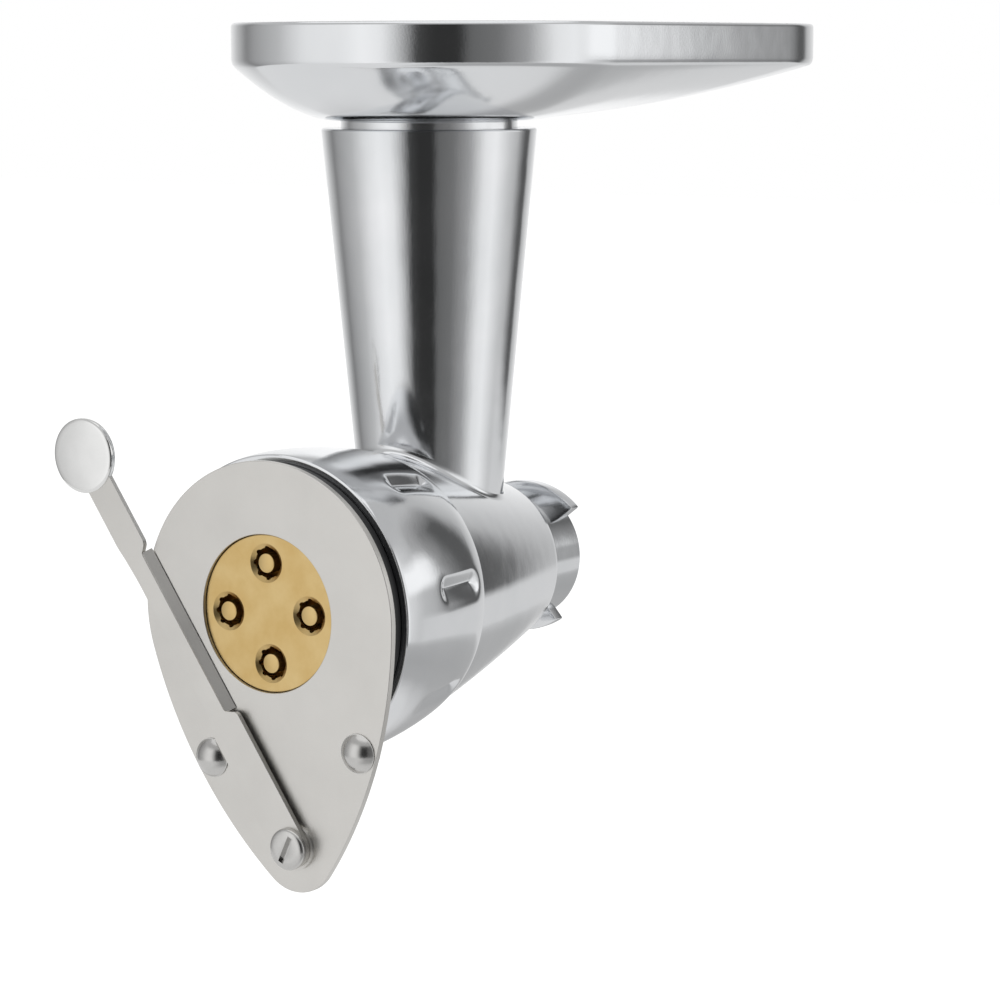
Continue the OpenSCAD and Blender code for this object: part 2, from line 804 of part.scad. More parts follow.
module strip_outline() {
    circle(r = foot_width / 2);
    polygon([
        [-foot_width / 2, 0],
        [foot_width / 2, 0],
        [foot_width / 2, blade_start - 0.8],
        [blade_right + 0.8, blade_start],
        [blade_right, blade_start + 0.8],
        [blade_right, blade_end],
        [neck_width / 2 - 1.2, blade_end + 0.6],
        [neck_width / 2, blade_end + 2.4],
        [neck_width / 2, lever_reach],
        [-neck_width / 2, lever_reach],
        [-neck_width / 2, blade_end + 5],
        [-neck_width / 2 + 0.3, blade_end + 2],
        [-blade_left - 0.1, blade_end - shoulder_run],
        [-blade_left - 0.6, blade_start + 3],
        [-foot_width / 2 + 0.3, blade_start - 2],
        [-foot_width / 2, blade_start - 5]
    ]);
    translate([0, lever_reach]) circle(r = neck_width / 2);
}

module cutter_lever() {
    blade_clear = 0.25;
    blade_out = 2.5;
    sheet = 1.2;
    color([0.77, 0.76, 0.74]) lever_frame() difference() {
        union() {
            translate([0, 0, strip_back]) linear_extrude(strip_thick) strip_outline();
            translate([0, blade_end, 0]) rotate([90, 0, 0])
                linear_extrude(blade_end - blade_start - 0.4)
                    polygon([
                        [blade_right - 1.2, strip_back + 0.3],
                        [blade_right - 0.4, strip_front],
                        [blade_right + 0.3, strip_front - 0.2],
                        [blade_right + blade_out, plate_front + blade_clear],
                        [blade_right + blade_out - sheet, plate_front + blade_clear]
                    ]);
        }
        bar(journal_r + run_gap, strip_back - over, strip_front + over);
    }
}

// A turned disc whose back is pocketed to seat the strip's end
module lever_knob() {
    dome = 0.5;
    top = strip_front + knob_rise;
    dome_r = (knob_r * knob_r + dome * dome) / (2 * dome);
    color([0.88, 0.88, 0.89]) lever_frame() difference() {
        translate([0, lever_reach, 0]) union() {
            bar(knob_r, strip_back, top - dome);
            intersection() {
                translate([0, 0, top - dome_r]) sphere(r = dome_r, $fn = 200);
                bar(knob_r, top - dome - 0.01, top + over);
            }
        }
        translate([0, 0, strip_back - over]) linear_extrude(strip_thick + over) strip_outline();
    }
}

body();
key_pin();
rear_bush();
thrust_washer();
hopper_tray();
pasta_screw();
nose_pin();
drive_shaft();
screw_pin();
drive_coupling();
coupling_pin();
die();
die_inserts();
die_mandrels();
ring_nut();
clip_ring();
cutter_plate();
stop_studs();
rivet_burrs();
pivot_bush();
spring_washer();
pivot_screw();
pivot_nut();
cutter_lever();
lever_knob();
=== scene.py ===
"""Looks for a stand-mixer pasta press: castings, cutter plate, lever and brass die, in a plain studio."""

from math import asin, atan2, cos, hypot, pi, radians, sin, sqrt

import bpy
from mathutils import Matrix, Vector


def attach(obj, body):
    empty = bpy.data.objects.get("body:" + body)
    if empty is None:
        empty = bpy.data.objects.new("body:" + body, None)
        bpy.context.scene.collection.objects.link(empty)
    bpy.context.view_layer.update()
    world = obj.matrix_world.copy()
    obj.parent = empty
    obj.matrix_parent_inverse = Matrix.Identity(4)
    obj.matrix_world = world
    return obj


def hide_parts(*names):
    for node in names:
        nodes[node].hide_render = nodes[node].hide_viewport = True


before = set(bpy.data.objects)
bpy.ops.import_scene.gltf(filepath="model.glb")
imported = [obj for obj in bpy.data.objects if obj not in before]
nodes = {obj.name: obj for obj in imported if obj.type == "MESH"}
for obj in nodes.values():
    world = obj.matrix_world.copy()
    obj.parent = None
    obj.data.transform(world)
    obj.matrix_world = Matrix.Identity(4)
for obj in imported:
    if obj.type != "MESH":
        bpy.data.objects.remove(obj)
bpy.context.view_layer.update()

# Sizes, in millimetres
MM = 0.001
# Steps round the large turned pieces, and halvings in a search for a length
ROUND_STEPS = 160
HALVINGS = 40

TUBE_HEIGHT = 130
TUBE_RIM_R = 31
TUBE_FOOT_R = 18.6
TUBE_SETBACK = 32.5
TUBE_BORE_LOW = 14.8
NECK_BORE_R = 23.2
NECK_DEPTH = 18
SOCKET_R = 25.55

SHOULDER_R = 23.8
BARREL_R = 38.6
RING_REAR = 62.5
RING_LENGTH = 43.2
RING_FRONT = RING_REAR + RING_LENGTH
THREAD_R = 35.5
THREAD_DEPTH = 1.4
THREAD_PITCH = 4
DIE_SEAT_R = 26.45
SHAFT_BORE_R = 9.5
BORE_REAR_R = 18.5
BORE_FRONT_R = 23.5
BORE_BOTTOM = 12
GROOVES, GROOVE_R, GROOVE_LENGTH = 6, 1.4, 86
DIE_BACK = 95
BARREL_FRONT = 98

SPIGOT_R = 20
SPIGOT_LENGTH = 18
SPIGOT_HOLLOW_R = 16
LUG_R = 24.7
LUG_THICK = 4.2
LUG_SPAN = 97
LUG_MIDDLE = 86.3
LUGS_APART = 176
LUG_TILT = 5.6
LUG_SINK = 4.2

CLIP_BACK = RING_FRONT + 0.3
PLATE_BACK = CLIP_BACK + 3.6
PLATE_FRONT = PLATE_BACK + 2
DIE_FACE = PLATE_FRONT - 1.1
WINDOW_R = 21.9
RIVET_ACROSS, RIVET_DOWN = 25.3, 39.1
PLATE_TILT = 8.2
PIVOT_DROP = 64.4
SWING = 26.42
STRIP_BACK = PLATE_FRONT + 1.05
STRIP_FRONT = STRIP_BACK + 1.5

# Local frames: z runs forward along the barrel, x stays to the right and y points up
FORWARD = Matrix.Rotation(radians(90), 4, "X")
ON_PLATE = FORWARD @ Matrix.Rotation(radians(PLATE_TILT), 4, "Z")
AT_PIVOT = ON_PLATE @ Matrix.Translation((0, -PIVOT_DROP, 0))
ON_LEVER = AT_PIVOT @ Matrix.Rotation(radians(SWING), 4, "Z")
AT_TUBE = Matrix.Translation((0, -TUBE_SETBACK, 0))
UPRIGHT = Matrix.Identity(4)


# Camera, in metres
CAMERA_PLACE = (0.51676, -0.77591, 0.15205)
CAMERA_RIGHT = (0.83375, 0.55214, -0.00208)
CAMERA_UP = (-0.07692, 0.11989, 0.98980)
SENSOR_MM, LENS_MM = 36, 112.6


def aim_camera():
    """Camera fitted to the photograph: a long lens, a little above the barrel."""
    right = Vector(CAMERA_RIGHT).normalized()
    back = right.cross(Vector(CAMERA_UP)).normalized()
    lens = bpy.data.cameras.new("photo_lens")
    lens.sensor_width = SENSOR_MM
    lens.lens = LENS_MM
    lens.clip_start = 0.05
    lens.clip_end = 30
    camera = bpy.data.objects.new("photo_camera", lens)
    turn = Matrix((right, back.cross(right), back)).transposed().to_4x4()
    camera.matrix_world = Matrix.Translation(CAMERA_PLACE) @ turn
    bpy.context.scene.collection.objects.link(camera)
    bpy.context.scene.camera = camera


# Modelling helpers
def only(piece):
    """Selects one piece alone and makes it active."""
    for other in bpy.context.selected_objects:
        other.select_set(False)
    piece.select_set(True)
    bpy.context.view_layer.objects.active = piece


def in_edit(piece, *steps):
    """Runs edit-mode steps on the whole of a piece."""
    only(piece)
    bpy.ops.object.mode_set(mode="EDIT")
    bpy.ops.mesh.select_all(action="SELECT")
    for step in steps:
        step()
    bpy.ops.object.mode_set(mode="OBJECT")


def mend():
    """Merges doubled points, drops stray edges and turns the faces outwards."""
    bpy.ops.mesh.select_all(action="SELECT")
    bpy.ops.mesh.remove_doubles(threshold=0.0005)
    bpy.ops.mesh.dissolve_degenerate(threshold=0.0004)
    bpy.ops.mesh.delete_loose()
    bpy.ops.mesh.select_all(action="SELECT")
    bpy.ops.mesh.normals_make_consistent(inside=False)


def started(name):
    """Names the primitive that was just added."""
    piece = bpy.context.object
    piece.name = name
    return piece


def turned(name, section, steps):
    """A turned piece: a closed section of (radius, height) points is spun about the z axis."""
    bpy.ops.mesh.primitive_circle_add(vertices=len(section))
    piece = started(name)
    for vertex, (radius, height) in zip(piece.data.vertices, section):
        vertex.co = (radius, 0, height)
    in_edit(
        piece,
        lambda: bpy.ops.mesh.spin(steps=steps, angle=2 * pi, center=(0, 0, 0), axis=(0, 0, 1)),
        mend,
    )
    return piece


def lofted(name, surface, across, along, caps=False):
    """A grid laid over a closed surface: surface(u, v) gives a point, u goes round and v goes along."""
    bpy.ops.mesh.primitive_grid_add(x_subdivisions=across, y_subdivisions=along)
    piece = started(name)
    points = []
    for row in range(along + 1):
        for column in range(across + 1):
            points.extend(surface(column / across, row / along))
    piece.data.vertices.foreach_set("co", points)

    def close_ends():
        bpy.ops.mesh.select_all(action="SELECT")
        bpy.ops.mesh.remove_doubles(threshold=0.0005)
        bpy.ops.mesh.select_all(action="DESELECT")
        bpy.ops.mesh.select_non_manifold()
        bpy.ops.mesh.edge_face_add()

    in_edit(piece, *([close_ends] if caps else []), mend)
    return piece


def sheet_cut(name, outline, low, high):
    """A flat blank: an outline filled with one face and raised from low to high."""
    bpy.ops.mesh.primitive_circle_add(vertices=len(outline), fill_type="NGON")
    piece = started(name)
    for vertex, (x, y) in zip(piece.data.vertices, outline):
        vertex.co = (x, y, low)
    raise_by = {"value": (0, 0, high - low)}
    in_edit(piece, lambda: bpy.ops.mesh.extrude_region_move(TRANSFORM_OT_translate=raise_by), mend)
    return piece


def modified(piece, kind, **settings):
    """Adds a modifier with its settings and applies it."""
    only(piece)
    change = piece.modifiers.new(kind.title(), kind)
    for key, value in settings.items():
        setattr(change, key, value)
    bpy.ops.object.modifier_apply(modifier=change.name)
    return piece


def eased(piece, width, segments=3, angle=32):
    """Rounds the sharp edges, as a tumbled or cast edge is."""
    return modified(
        piece, "BEVEL", width=width, segments=segments,
        limit_method="ANGLE", angle_limit=radians(angle), use_clamp_overlap=True,
    )


def combined(piece, tool, operation):
    """Joins or cuts a piece with a second one, which is used up."""
    modified(piece, "BOOLEAN", object=tool, operation=operation, solver="EXACT")
    bpy.data.objects.remove(tool, do_unlink=True)


def copied(piece, placing):
    """A copy with its own mesh, moved by a matrix."""
    double = piece.copy()
    double.data = piece.data.copy()
    bpy.context.scene.collection.objects.link(double)
    double.data.transform(placing)
    return double


def joined(name, pieces):
    """Several pieces made one."""
    for other in bpy.context.selected_objects:
        other.select_set(False)
    for piece in pieces:
        piece.select_set(True)
    bpy.context.view_layer.objects.active = pieces[0]
    bpy.ops.object.join()
    return started(name)


def settled(piece, placing, body, slot, material, *nodes, angle=28):
    """Puts a finished piece in its place in metres, smooths it and gives it body, finish and node."""
    only(piece)
    piece.matrix_world = Matrix.Scale(MM, 4) @ placing
    bpy.ops.object.transform_apply(location=True, rotation=True, scale=True)
    bpy.ops.object.shade_smooth_by_angle(angle=radians(angle))
    modified(piece, "WEIGHTED_NORMAL", keep_sharp=True, weight=50)
    piece.data.materials.clear()
    piece.data.materials.append(material)
    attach(piece, body)
    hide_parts(*nodes)
    return piece


# Materials
def linear(code):
    """An sRGB hex colour as linear RGBA."""
    channels = [int(code[i:i + 2], 16) / 255 for i in (1, 3, 5)]
    return tuple(c / 12.92 if c <= 0.04045 else ((c + 0.055) / 1.055) ** 2.4 for c in channels) + (1.0,)


def add_node(tree, kind, inputs=None, **settings):
    """Adds a shader node with its settings, values and links."""
    made = tree.nodes.new(kind)
    for key, value in settings.items():
        setattr(made, key, value)
    for socket, value in (inputs or {}).items():
        if isinstance(value, bpy.types.NodeSocket):
            tree.links.new(value, made.inputs[socket])
        else:
            made.inputs[socket].default_value = value
    return made


def ramp_stops(ramp, stops):
    """Sets a colour ramp's stops from (place, hex colour) pairs."""
    elements = ramp.color_ramp.elements
    while len(elements) < len(stops):
        elements.new(1.0)
    for element, (place, code) in zip(elements, stops):
        element.position = place
        element.color = linear(code)


def new_material(name):
    """An empty material with its shader and the place of its pattern."""
    material = bpy.data.materials.new(name)
    material.use_nodes = True
    tree = material.node_tree
    shader = tree.nodes["Principled BSDF"]
    place = add_node(tree, "ShaderNodeTexCoord").outputs["Object"]
    return material, tree, shader, place


# The grain of each finish is drawn several times coarser than the real one, which is too fine to show
GRAIN_HEIGHT = 0.0001
WAVE_HEIGHT, WAVES_PER_METRE = 0.0004, 90.0


def metal(name, light, dark, rough, spread, cloud_mm, grain_mm, grain_depth, stretch=(1, 1, 1), wave=0.0):
    """A bare metal: clouded colour and roughness, a fine grain that may run one way, and a slow wave."""
    material, tree, shader, place = new_material(name)
    shader.inputs["Metallic"].default_value = 1.0
    clouds = add_node(
        tree, "ShaderNodeTexNoise", {"Vector": place, "Scale": 1 / (cloud_mm * MM), "Detail": 4.0}
    )
    tint = add_node(tree, "ShaderNodeValToRGB", {"Fac": clouds.outputs["Fac"]})
    ramp_stops(tint, [(0.3, dark), (0.7, light)])
    tree.links.new(tint.outputs["Color"], shader.inputs["Base Color"])
    run = add_node(tree, "ShaderNodeMapping", {"Vector": place, "Scale": stretch})
    grain = add_node(
        tree, "ShaderNodeTexNoise",
        {"Vector": run.outputs["Vector"], "Scale": 1 / (grain_mm * MM), "Detail": 3.0, "Roughness": 0.6},
    )
    mixed = add_node(
        tree, "ShaderNodeMix",
        {"Factor": 0.5, "A": clouds.outputs["Fac"], "B": grain.outputs["Fac"]}, data_type="FLOAT",
    )
    shade = add_node(
        tree, "ShaderNodeMapRange",
        {"Value": mixed.outputs["Result"], "From Min": 0.3, "From Max": 0.7,
         "To Min": rough - spread, "To Max": rough + spread},
    )
    tree.links.new(shade.outputs["Result"], shader.inputs["Roughness"])
    bump = add_node(
        tree, "ShaderNodeBump",
        {"Height": grain.outputs["Fac"], "Strength": grain_depth, "Distance": GRAIN_HEIGHT},
    )
    if wave:
        ripple = add_node(
            tree, "ShaderNodeTexNoise", {"Vector": place, "Scale": WAVES_PER_METRE, "Detail": 1.0}
        )
        under = add_node(
            tree, "ShaderNodeBump",
            {"Height": ripple.outputs["Fac"], "Strength": wave, "Distance": WAVE_HEIGHT},
        )
        tree.links.new(under.outputs["Normal"], bump.inputs["Normal"])
    tree.links.new(bump.outputs["Normal"], shader.inputs["Normal"])
    return material


PLASTIC_IOR = 1.49
PLASTIC_SPREAD = 0.06


def moulded(name, code, rough, grain_mm, grain_depth):
    """A moulded plastic with a fine spark-eroded grain."""
    material, tree, shader, place = new_material(name)
    shader.inputs["Base Color"].default_value = linear(code)
    shader.inputs["IOR"].default_value = PLASTIC_IOR
    grain = add_node(
        tree, "ShaderNodeTexNoise", {"Vector": place, "Scale": 1 / (grain_mm * MM), "Detail": 2.0}
    )
    shade = add_node(
        tree, "ShaderNodeMapRange",
        {"Value": grain.outputs["Fac"], "To Min": rough - PLASTIC_SPREAD, "To Max": rough + PLASTIC_SPREAD},
    )
    tree.links.new(shade.outputs["Result"], shader.inputs["Roughness"])
    bump = add_node(
        tree, "ShaderNodeBump",
        {"Height": grain.outputs["Fac"], "Strength": grain_depth, "Distance": GRAIN_HEIGHT},
    )
    tree.links.new(bump.outputs["Normal"], shader.inputs["Normal"])
    return material


# Die-cast aluminium, belt polished: mirror-like with a soft edge to each reflection
CAST_ALUMINIUM = metal(
    "polished cast aluminium", "#EBECEE", "#E2E4E6", 0.11, 0.03, 25, 0.6, 0.10,
    stretch=(1, 1, 0.15), wave=0.25,
)
# Pressed aluminium sheet, polished and sealed: brighter and less wavy than the casting
SHEET_ALUMINIUM = metal(
    "polished pressed aluminium", "#EDEEF0", "#E6E8EA", 0.13, 0.03, 40, 0.7, 0.10, wave=0.12
)
# Sand-cast aluminium as it leaves the mould, lightly tumbled: grey and matt
RAW_ALUMINIUM = metal("tumbled cast aluminium", "#CDCFD1", "#B9BBBE", 0.34, 0.06, 6, 0.5, 0.35)
# Stainless sheet, vibration ground: satin, faintly clouded
SATIN_STAINLESS = metal("satin stainless sheet", "#E0DEDA", "#D8D6D2", 0.36, 0.04, 18, 0.35, 0.22)
# Turned and polished stainless: the brightest metal here, with clear reflections
BRIGHT_STAINLESS = metal("polished stainless steel", "#F2F2F1", "#EBEBEA", 0.14, 0.03, 8, 0.4, 0.08)
# Headed stainless, tumbled: a darker shine, with blurred highlights
HEADED_STAINLESS = metal("tumbled stainless steel", "#D4D3D1", "#CAC9C7", 0.21, 0.04, 6, 0.4, 0.12)
# Free-cutting brass, faced on a lathe: a golden face that barely shines
TURNED_BRASS = metal("faced brass", "#E3C78E", "#D6B679", 0.33, 0.05, 7, 0.3, 0.25)
# Bearing bronze, turned and oiled: a soft reddish shine
BEARING_BRONZE = metal("turned bronze", "#C48D57", "#AE7A47", 0.28, 0.05, 5, 0.3, 0.2)
# Acetal, moulded: white with a waxy sheen
WHITE_ACETAL = moulded("white acetal", "#E9E7E0", 0.38, 0.4, 0.15)
# Glass-filled nylon, moulded black: dull, with a pale bloom at flat angles
BLACK_NYLON = moulded("black nylon", "#17181A", 0.42, 0.35, 0.2)


# Casting
BARREL_CROWN = 0.6
CONE_LENGTH = RING_REAR - 0.3


def barrel_r(forward):
    """Outer radius of the barrel, a faintly crowned cone, at a distance forward of the shoulder."""
    share = forward / CONE_LENGTH
    return SHOULDER_R + (BARREL_R - SHOULDER_R) * share + 4 * BARREL_CROWN * share * (1 - share)


def barrel_slope(forward):
    """Growth of the barrel's radius for each millimetre forward."""
    share = forward / CONE_LENGTH
    return (BARREL_R - SHOULDER_R + 4 * BARREL_CROWN * (1 - 2 * share)) / CONE_LENGTH


def bore_r(forward):
    """Radius of the screw's bore."""
    return BORE_REAR_R + (BORE_FRONT_R - BORE_REAR_R) * (forward - BORE_BOTTOM) / (DIE_BACK - BORE_BOTTOM)


FILLET_R = 2.6
FILLET_STEPS = 8
# How deep the fillet's foot starts under the barrel's skin, and the skirt below it
FOOT_SINK, SKIRT_SINK, SKIRT_INSET = 0.06, 1.2, 0.6
TUBE_SLOPE = (TUBE_RIM_R - TUBE_FOOT_R) / (TUBE_HEIGHT - 0.6)


def tube_r(height):
    """Outer radius of the feed tube's cone at a height above the barrel's axis."""
    return TUBE_FOOT_R + TUBE_SLOPE * height


def tube_normal(turn):
    """Direction straight out of the feed tube's skin."""
    return Vector((cos(turn), sin(turn), -TUBE_SLOPE)).normalized()


def barrel_normal(point):
    """Direction straight out of the barrel's skin, next to a point."""
    return Vector((point.x, barrel_slope(-point.y) * hypot(point.x, point.z), point.z)).normalized()


def above_barrel(point):
    """Distance of a point from the barrel's skin."""
    return (hypot(point.x, point.z) - barrel_r(-point.y)) / sqrt(1 + barrel_slope(-point.y) ** 2)


def fillet_profile(turn):
    """Points of the rolled fillet between tube and barrel, from under the barrel's skin upwards."""
    out = tube_normal(turn)

    def middle(height):
        radius = tube_r(height)
        on_tube = Vector((radius * cos(turn), radius * sin(turn) - TUBE_SETBACK, height))
        return on_tube + out * FILLET_R

    low, high = 0.0, 90.0
    for _ in range(HALVINGS):
        guess = (low + high) / 2
        if above_barrel(middle(guess)) < FILLET_R:
            low = guess
        else:
            high = guess
    centre = middle(low)
    down = -barrel_normal(centre)
    side = -out
    angle = down.angle(side)
    bend = []
    for step in range(FILLET_STEPS + 1):
        share = step / FILLET_STEPS
        ray = (down * sin((1 - share) * angle) + side * sin(share * angle)) / sin(angle)
        bend.append(centre + ray * FILLET_R)
    skirt = bend[0] + down * SKIRT_SINK - Vector((out.x, out.y, 0)) * SKIRT_INSET
    start = bend[0] + down * FOOT_SINK
    return [skirt, start] + bend[1:]


def feed_tube():
    """Solid outer form of the feed tube, with its fillet and rounded rim."""
    around, levels = ROUND_STEPS, 30
    rim = [(TUBE_RIM_R, -0.9), (TUBE_RIM_R, -0.55), (TUBE_RIM_R - 0.2, -0.18), (TUBE_RIM_R - 0.6, 0)]
    profiles = []
    for column in range(around):
        turn = 2 * pi * column / around
        foot = fillet_profile(turn)
        top = foot[-1].z
        heights = [top + (TUBE_HEIGHT - 1.2 - top) * step / levels for step in range(1, levels + 1)]
        skin = [(tube_r(height), height) for height in heights]
        skin += [(radius, TUBE_HEIGHT + height) for radius, height in rim]
        profiles.append(foot + [
            Vector((radius * cos(turn), radius * sin(turn) - TUBE_SETBACK, height)) for radius, height in skin
        ])
    rows = len(profiles[0]) - 1

    def surface(u, v):
        return profiles[round(u * around) % around][round(v * rows)]

    return lofted("feed_tube", surface, around, rows, caps=True)


def bayonet_lug(middle, tall_end):
    """One ramped bayonet lug: a section swept round the spigot, which sinks towards its far end."""
    half = radians(LUG_SPAN / 2)
    corners = [(SPIGOT_R - 1.5, -0.5), (LUG_R, -0.5), (LUG_R, 0.5), (SPIGOT_R - 1.5, 0.5)]

    def surface(u, v):
        radius, side = corners[round(u * 4) % 4]
        if radius > SPIGOT_R:
            radius -= LUG_SINK * abs(v - tall_end)
        turn = half * (2 * v - 1)
        ramp = LUG_R * sin(turn) * sin(radians(LUG_TILT))
        height = max(-SPIGOT_LENGTH, -SPIGOT_LENGTH + 4 + ramp + side * LUG_THICK)
        at = radians(middle) + turn
        return radius * cos(at), radius * sin(at), height

    lug = lofted("bayonet_lug", surface, 4, 32, caps=True)
    return eased(lug, 0.5, 2)


def press_body():
    """Barrel, feed tube and spigot in one polished casting, with its bores cut out."""
    cone = [(barrel_r(d), d) for d in [2 + (CONE_LENGTH - 2) * step / 34 for step in range(35)]]
    root = THREAD_R - THREAD_DEPTH
    threads = []
    for turn in range(7):
        at = RING_REAR + 4.5 + turn * THREAD_PITCH
        threads += [(root, at), (root, at + 0.7), (THREAD_R, at + 2.1), (THREAD_R, at + 2.9)]
    outside = (
        [(SPIGOT_R - 0.7, -SPIGOT_LENGTH), (SPIGOT_R - 0.2, -SPIGOT_LENGTH + 0.2),
         (SPIGOT_R, -SPIGOT_LENGTH + 0.7), (SPIGOT_R, -0.6), (SPIGOT_R + 0.5, 0),
         (SHOULDER_R - 1.9, 0), (SHOULDER_R - 1.1, 0.15),
         (SHOULDER_R - 0.4, 0.6), (SHOULDER_R + 0.1, 1.2)]
        + cone
        + [(BARREL_R - 0.5, RING_REAR - 0.05), (root, RING_REAR - 0.05)]
        + threads
        + [(THREAD_R, BARREL_FRONT - 1.5), (THREAD_R - 1.5, BARREL_FRONT)]
    )
    inside = [
        (DIE_SEAT_R, BARREL_FRONT), (DIE_SEAT_R, DIE_BACK), (BORE_FRONT_R, DIE_BACK),
        (BORE_REAR_R, BORE_BOTTOM), (SHAFT_BORE_R, BORE_BOTTOM), (SHAFT_BORE_R, -4), (SPIGOT_HOLLOW_R, -4),
        (SPIGOT_HOLLOW_R, -SPIGOT_LENGTH + 0.6), (SPIGOT_HOLLOW_R + 0.6, -SPIGOT_LENGTH),
    ]
    barrel = turned("press_body", outside + inside, ROUND_STEPS)
    for middle, tall_end in ((LUG_MIDDLE, 0), (LUG_MIDDLE + LUGS_APART, 1)):
        combined(barrel, bayonet_lug(middle, tall_end), "UNION")
    barrel.data.transform(FORWARD)
    combined(barrel, feed_tube(), "UNION")
    ledge = TUBE_HEIGHT - NECK_DEPTH
    tube_bore = turned("tube_bore", [
        (0, 4), (TUBE_BORE_LOW, 4), (NECK_BORE_R, ledge), (SOCKET_R, ledge), (SOCKET_R, TUBE_HEIGHT - 0.8),
        (SOCKET_R + 0.3, TUBE_HEIGHT - 0.2), (SOCKET_R + 0.9, TUBE_HEIGHT), (SOCKET_R + 0.9, TUBE_HEIGHT + 4),
        (0, TUBE_HEIGHT + 4),
    ], ROUND_STEPS)
    tube_bore.data.transform(AT_TUBE)
    combined(barrel, tube_bore, "DIFFERENCE")
    tilt = atan2(BORE_FRONT_R - BORE_REAR_R, DIE_BACK - BORE_BOTTOM)
    section = [(0, 0), (GROOVE_R, 0), (GROOVE_R, GROOVE_LENGTH), (0, GROOVE_LENGTH)]
    groove = turned("bore_groove", section, 20)
    groove.data.transform(Matrix.Translation((BORE_REAR_R, 0, BORE_BOTTOM)) @ Matrix.Rotation(tilt, 4, "Y"))
    for count in range(GROOVES):
        turn = Matrix.Rotation(radians(30 + 360 / GROOVES * count), 4, "Z")
        combined(barrel, copied(groove, FORWARD @ turn), "DIFFERENCE")
    bpy.data.objects.remove(groove, do_unlink=True)
    return settled(barrel, UPRIGHT, "press_body", "cast_aluminium", CAST_ALUMINIUM, "body")


# Ring nut
NUT_REAR_R, NUT_GROWTH, NUT_CROWN = 39.3, 4.2, 1.65
REAR_ROLL, REAR_ROLL_LENGTH = 0.45, 6.5
FRONT_ROLL, FRONT_ROLL_LENGTH = 0.4, 7.5
NOTCHES, NOTCH_DEPTH = 8, 1.75
NOTCH_REAR, NOTCH_FRONT = RING_REAR + 8, RING_REAR + 23
NOTCH_SLOPE, NOTCH_LEAN = 0.5, 0.07
VALLEY_ROUND, LIP_ROUND = 0.4, 0.14
FIRST_NOTCH = 9.8


def ring_outside(forward):
    """Crowned outer radius of the ring nut, which rolls in towards both ends."""
    share = (forward - RING_REAR) / RING_LENGTH
    rear = max(0.0, 1 - (forward - RING_REAR) / REAR_ROLL_LENGTH)
    front = max(0.0, 1 - (RING_FRONT - forward) / FRONT_ROLL_LENGTH)
    crowned = NUT_REAR_R + NUT_GROWTH * share + 4 * NUT_CROWN * share * (1 - share)
    return crowned - REAR_ROLL * rear ** 2 - FRONT_ROLL * front ** 2


def notch_depth(side, forward):
    """Depth of a grip notch: a valley with an unequal pair of walls, cone-shaped ends and rounded lips."""
    past = max(0.0, forward - NOTCH_FRONT, NOTCH_REAR - forward)
    away = sqrt(side ** 2 + past ** 2 + VALLEY_ROUND ** 2) - VALLEY_ROUND
    lean = side / max(hypot(side, past), 0.001)
    left = NOTCH_DEPTH - away * (NOTCH_SLOPE + NOTCH_LEAN * lean)
    return 0.5 * (left + sqrt(left ** 2 + LIP_ROUND))


def nut_turns():
    """Turns of the nut's columns, close together over the notches."""
    half, reach = 180 / NOTCHES, 9
    turns = []
    for count in range(NOTCHES):
        middle = FIRST_NOTCH + 2 * half * count
        turns += [middle - half + (half - reach) * k / 9 for k in range(9)]
        turns += [middle - reach + 2 * reach * k / 36 for k in range(36)]
        turns += [middle + reach + (half - reach) * k / 9 for k in range(9)]
    return [radians(turn) for turn in turns]


def ring_nut():
    """Ring nut: crowned outside with eight grip notches, and rounded edges."""
    steps = 70
    first, last = RING_REAR + 0.6, RING_FRONT - 0.8
    crown = [first + (last - first) * k / steps for k in range(steps + 1)]
    rear_r, front_r = ring_outside(first), ring_outside(last)
    rear_edge = [
        (rear_r - 0.75, RING_REAR), (rear_r - 0.35, RING_REAR + 0.1), (rear_r - 0.12, RING_REAR + 0.3),
    ]
    front_edge = [
        (front_r - 0.12, RING_FRONT - 0.4), (front_r - 0.4, RING_FRONT - 0.12), (front_r - 0.85, RING_FRONT),
    ]
    hole_r, bead_r = 24.5, 25.3
    inside = [
        (hole_r + 0.6, RING_FRONT), (hole_r, RING_FRONT - 0.6), (hole_r, RING_FRONT - 1.4),
        (bead_r, RING_FRONT - 1.4), (bead_r, RING_FRONT - 3.0), (hole_r, RING_FRONT - 3.0),
        (hole_r, RING_FRONT - 4.7),
        (THREAD_R + 0.35, RING_FRONT - 4.7), (THREAD_R + 0.35, RING_REAR + 1), (THREAD_R + 1.3, RING_REAR),
    ]
    turns = nut_turns()
    around = len(turns)
    rows = rear_edge + [(None, d) for d in crown] + front_edge + inside
    along = len(rows)

    def surface(u, v):
        column = round(u * around) % around
        radius, forward = rows[round(v * along) % along]
        if radius is None:
            off = (turns[column] - radians(FIRST_NOTCH) + pi / NOTCHES) % (2 * pi / NOTCHES) - pi / NOTCHES
            radius = ring_outside(forward)
            radius -= notch_depth(radius * off, forward)
        return radius * cos(turns[column]), radius * sin(turns[column]), forward

    nut = lofted("ring_nut_grip", surface, around, along)
    return settled(nut, FORWARD, "ring_nut", "cast_aluminium", CAST_ALUMINIUM, "ring_nut")


# Tray
TRAY_HALF = 60
TRAY_FRONT = 50.4
TRAY_BACK = 161.6
TRAY_CORNER = 54
TRAY_BASE = TUBE_HEIGHT + 2.2
DISH_DEPTH, DISH_CURVE = 15, 1.7
CREASE = TRAY_BASE + DISH_DEPTH
RIM = CREASE + 12.7
SHEET = 2
COLLAR_R, MOUTH_R = 27.6, 24.6
PLUG_R = 25.4


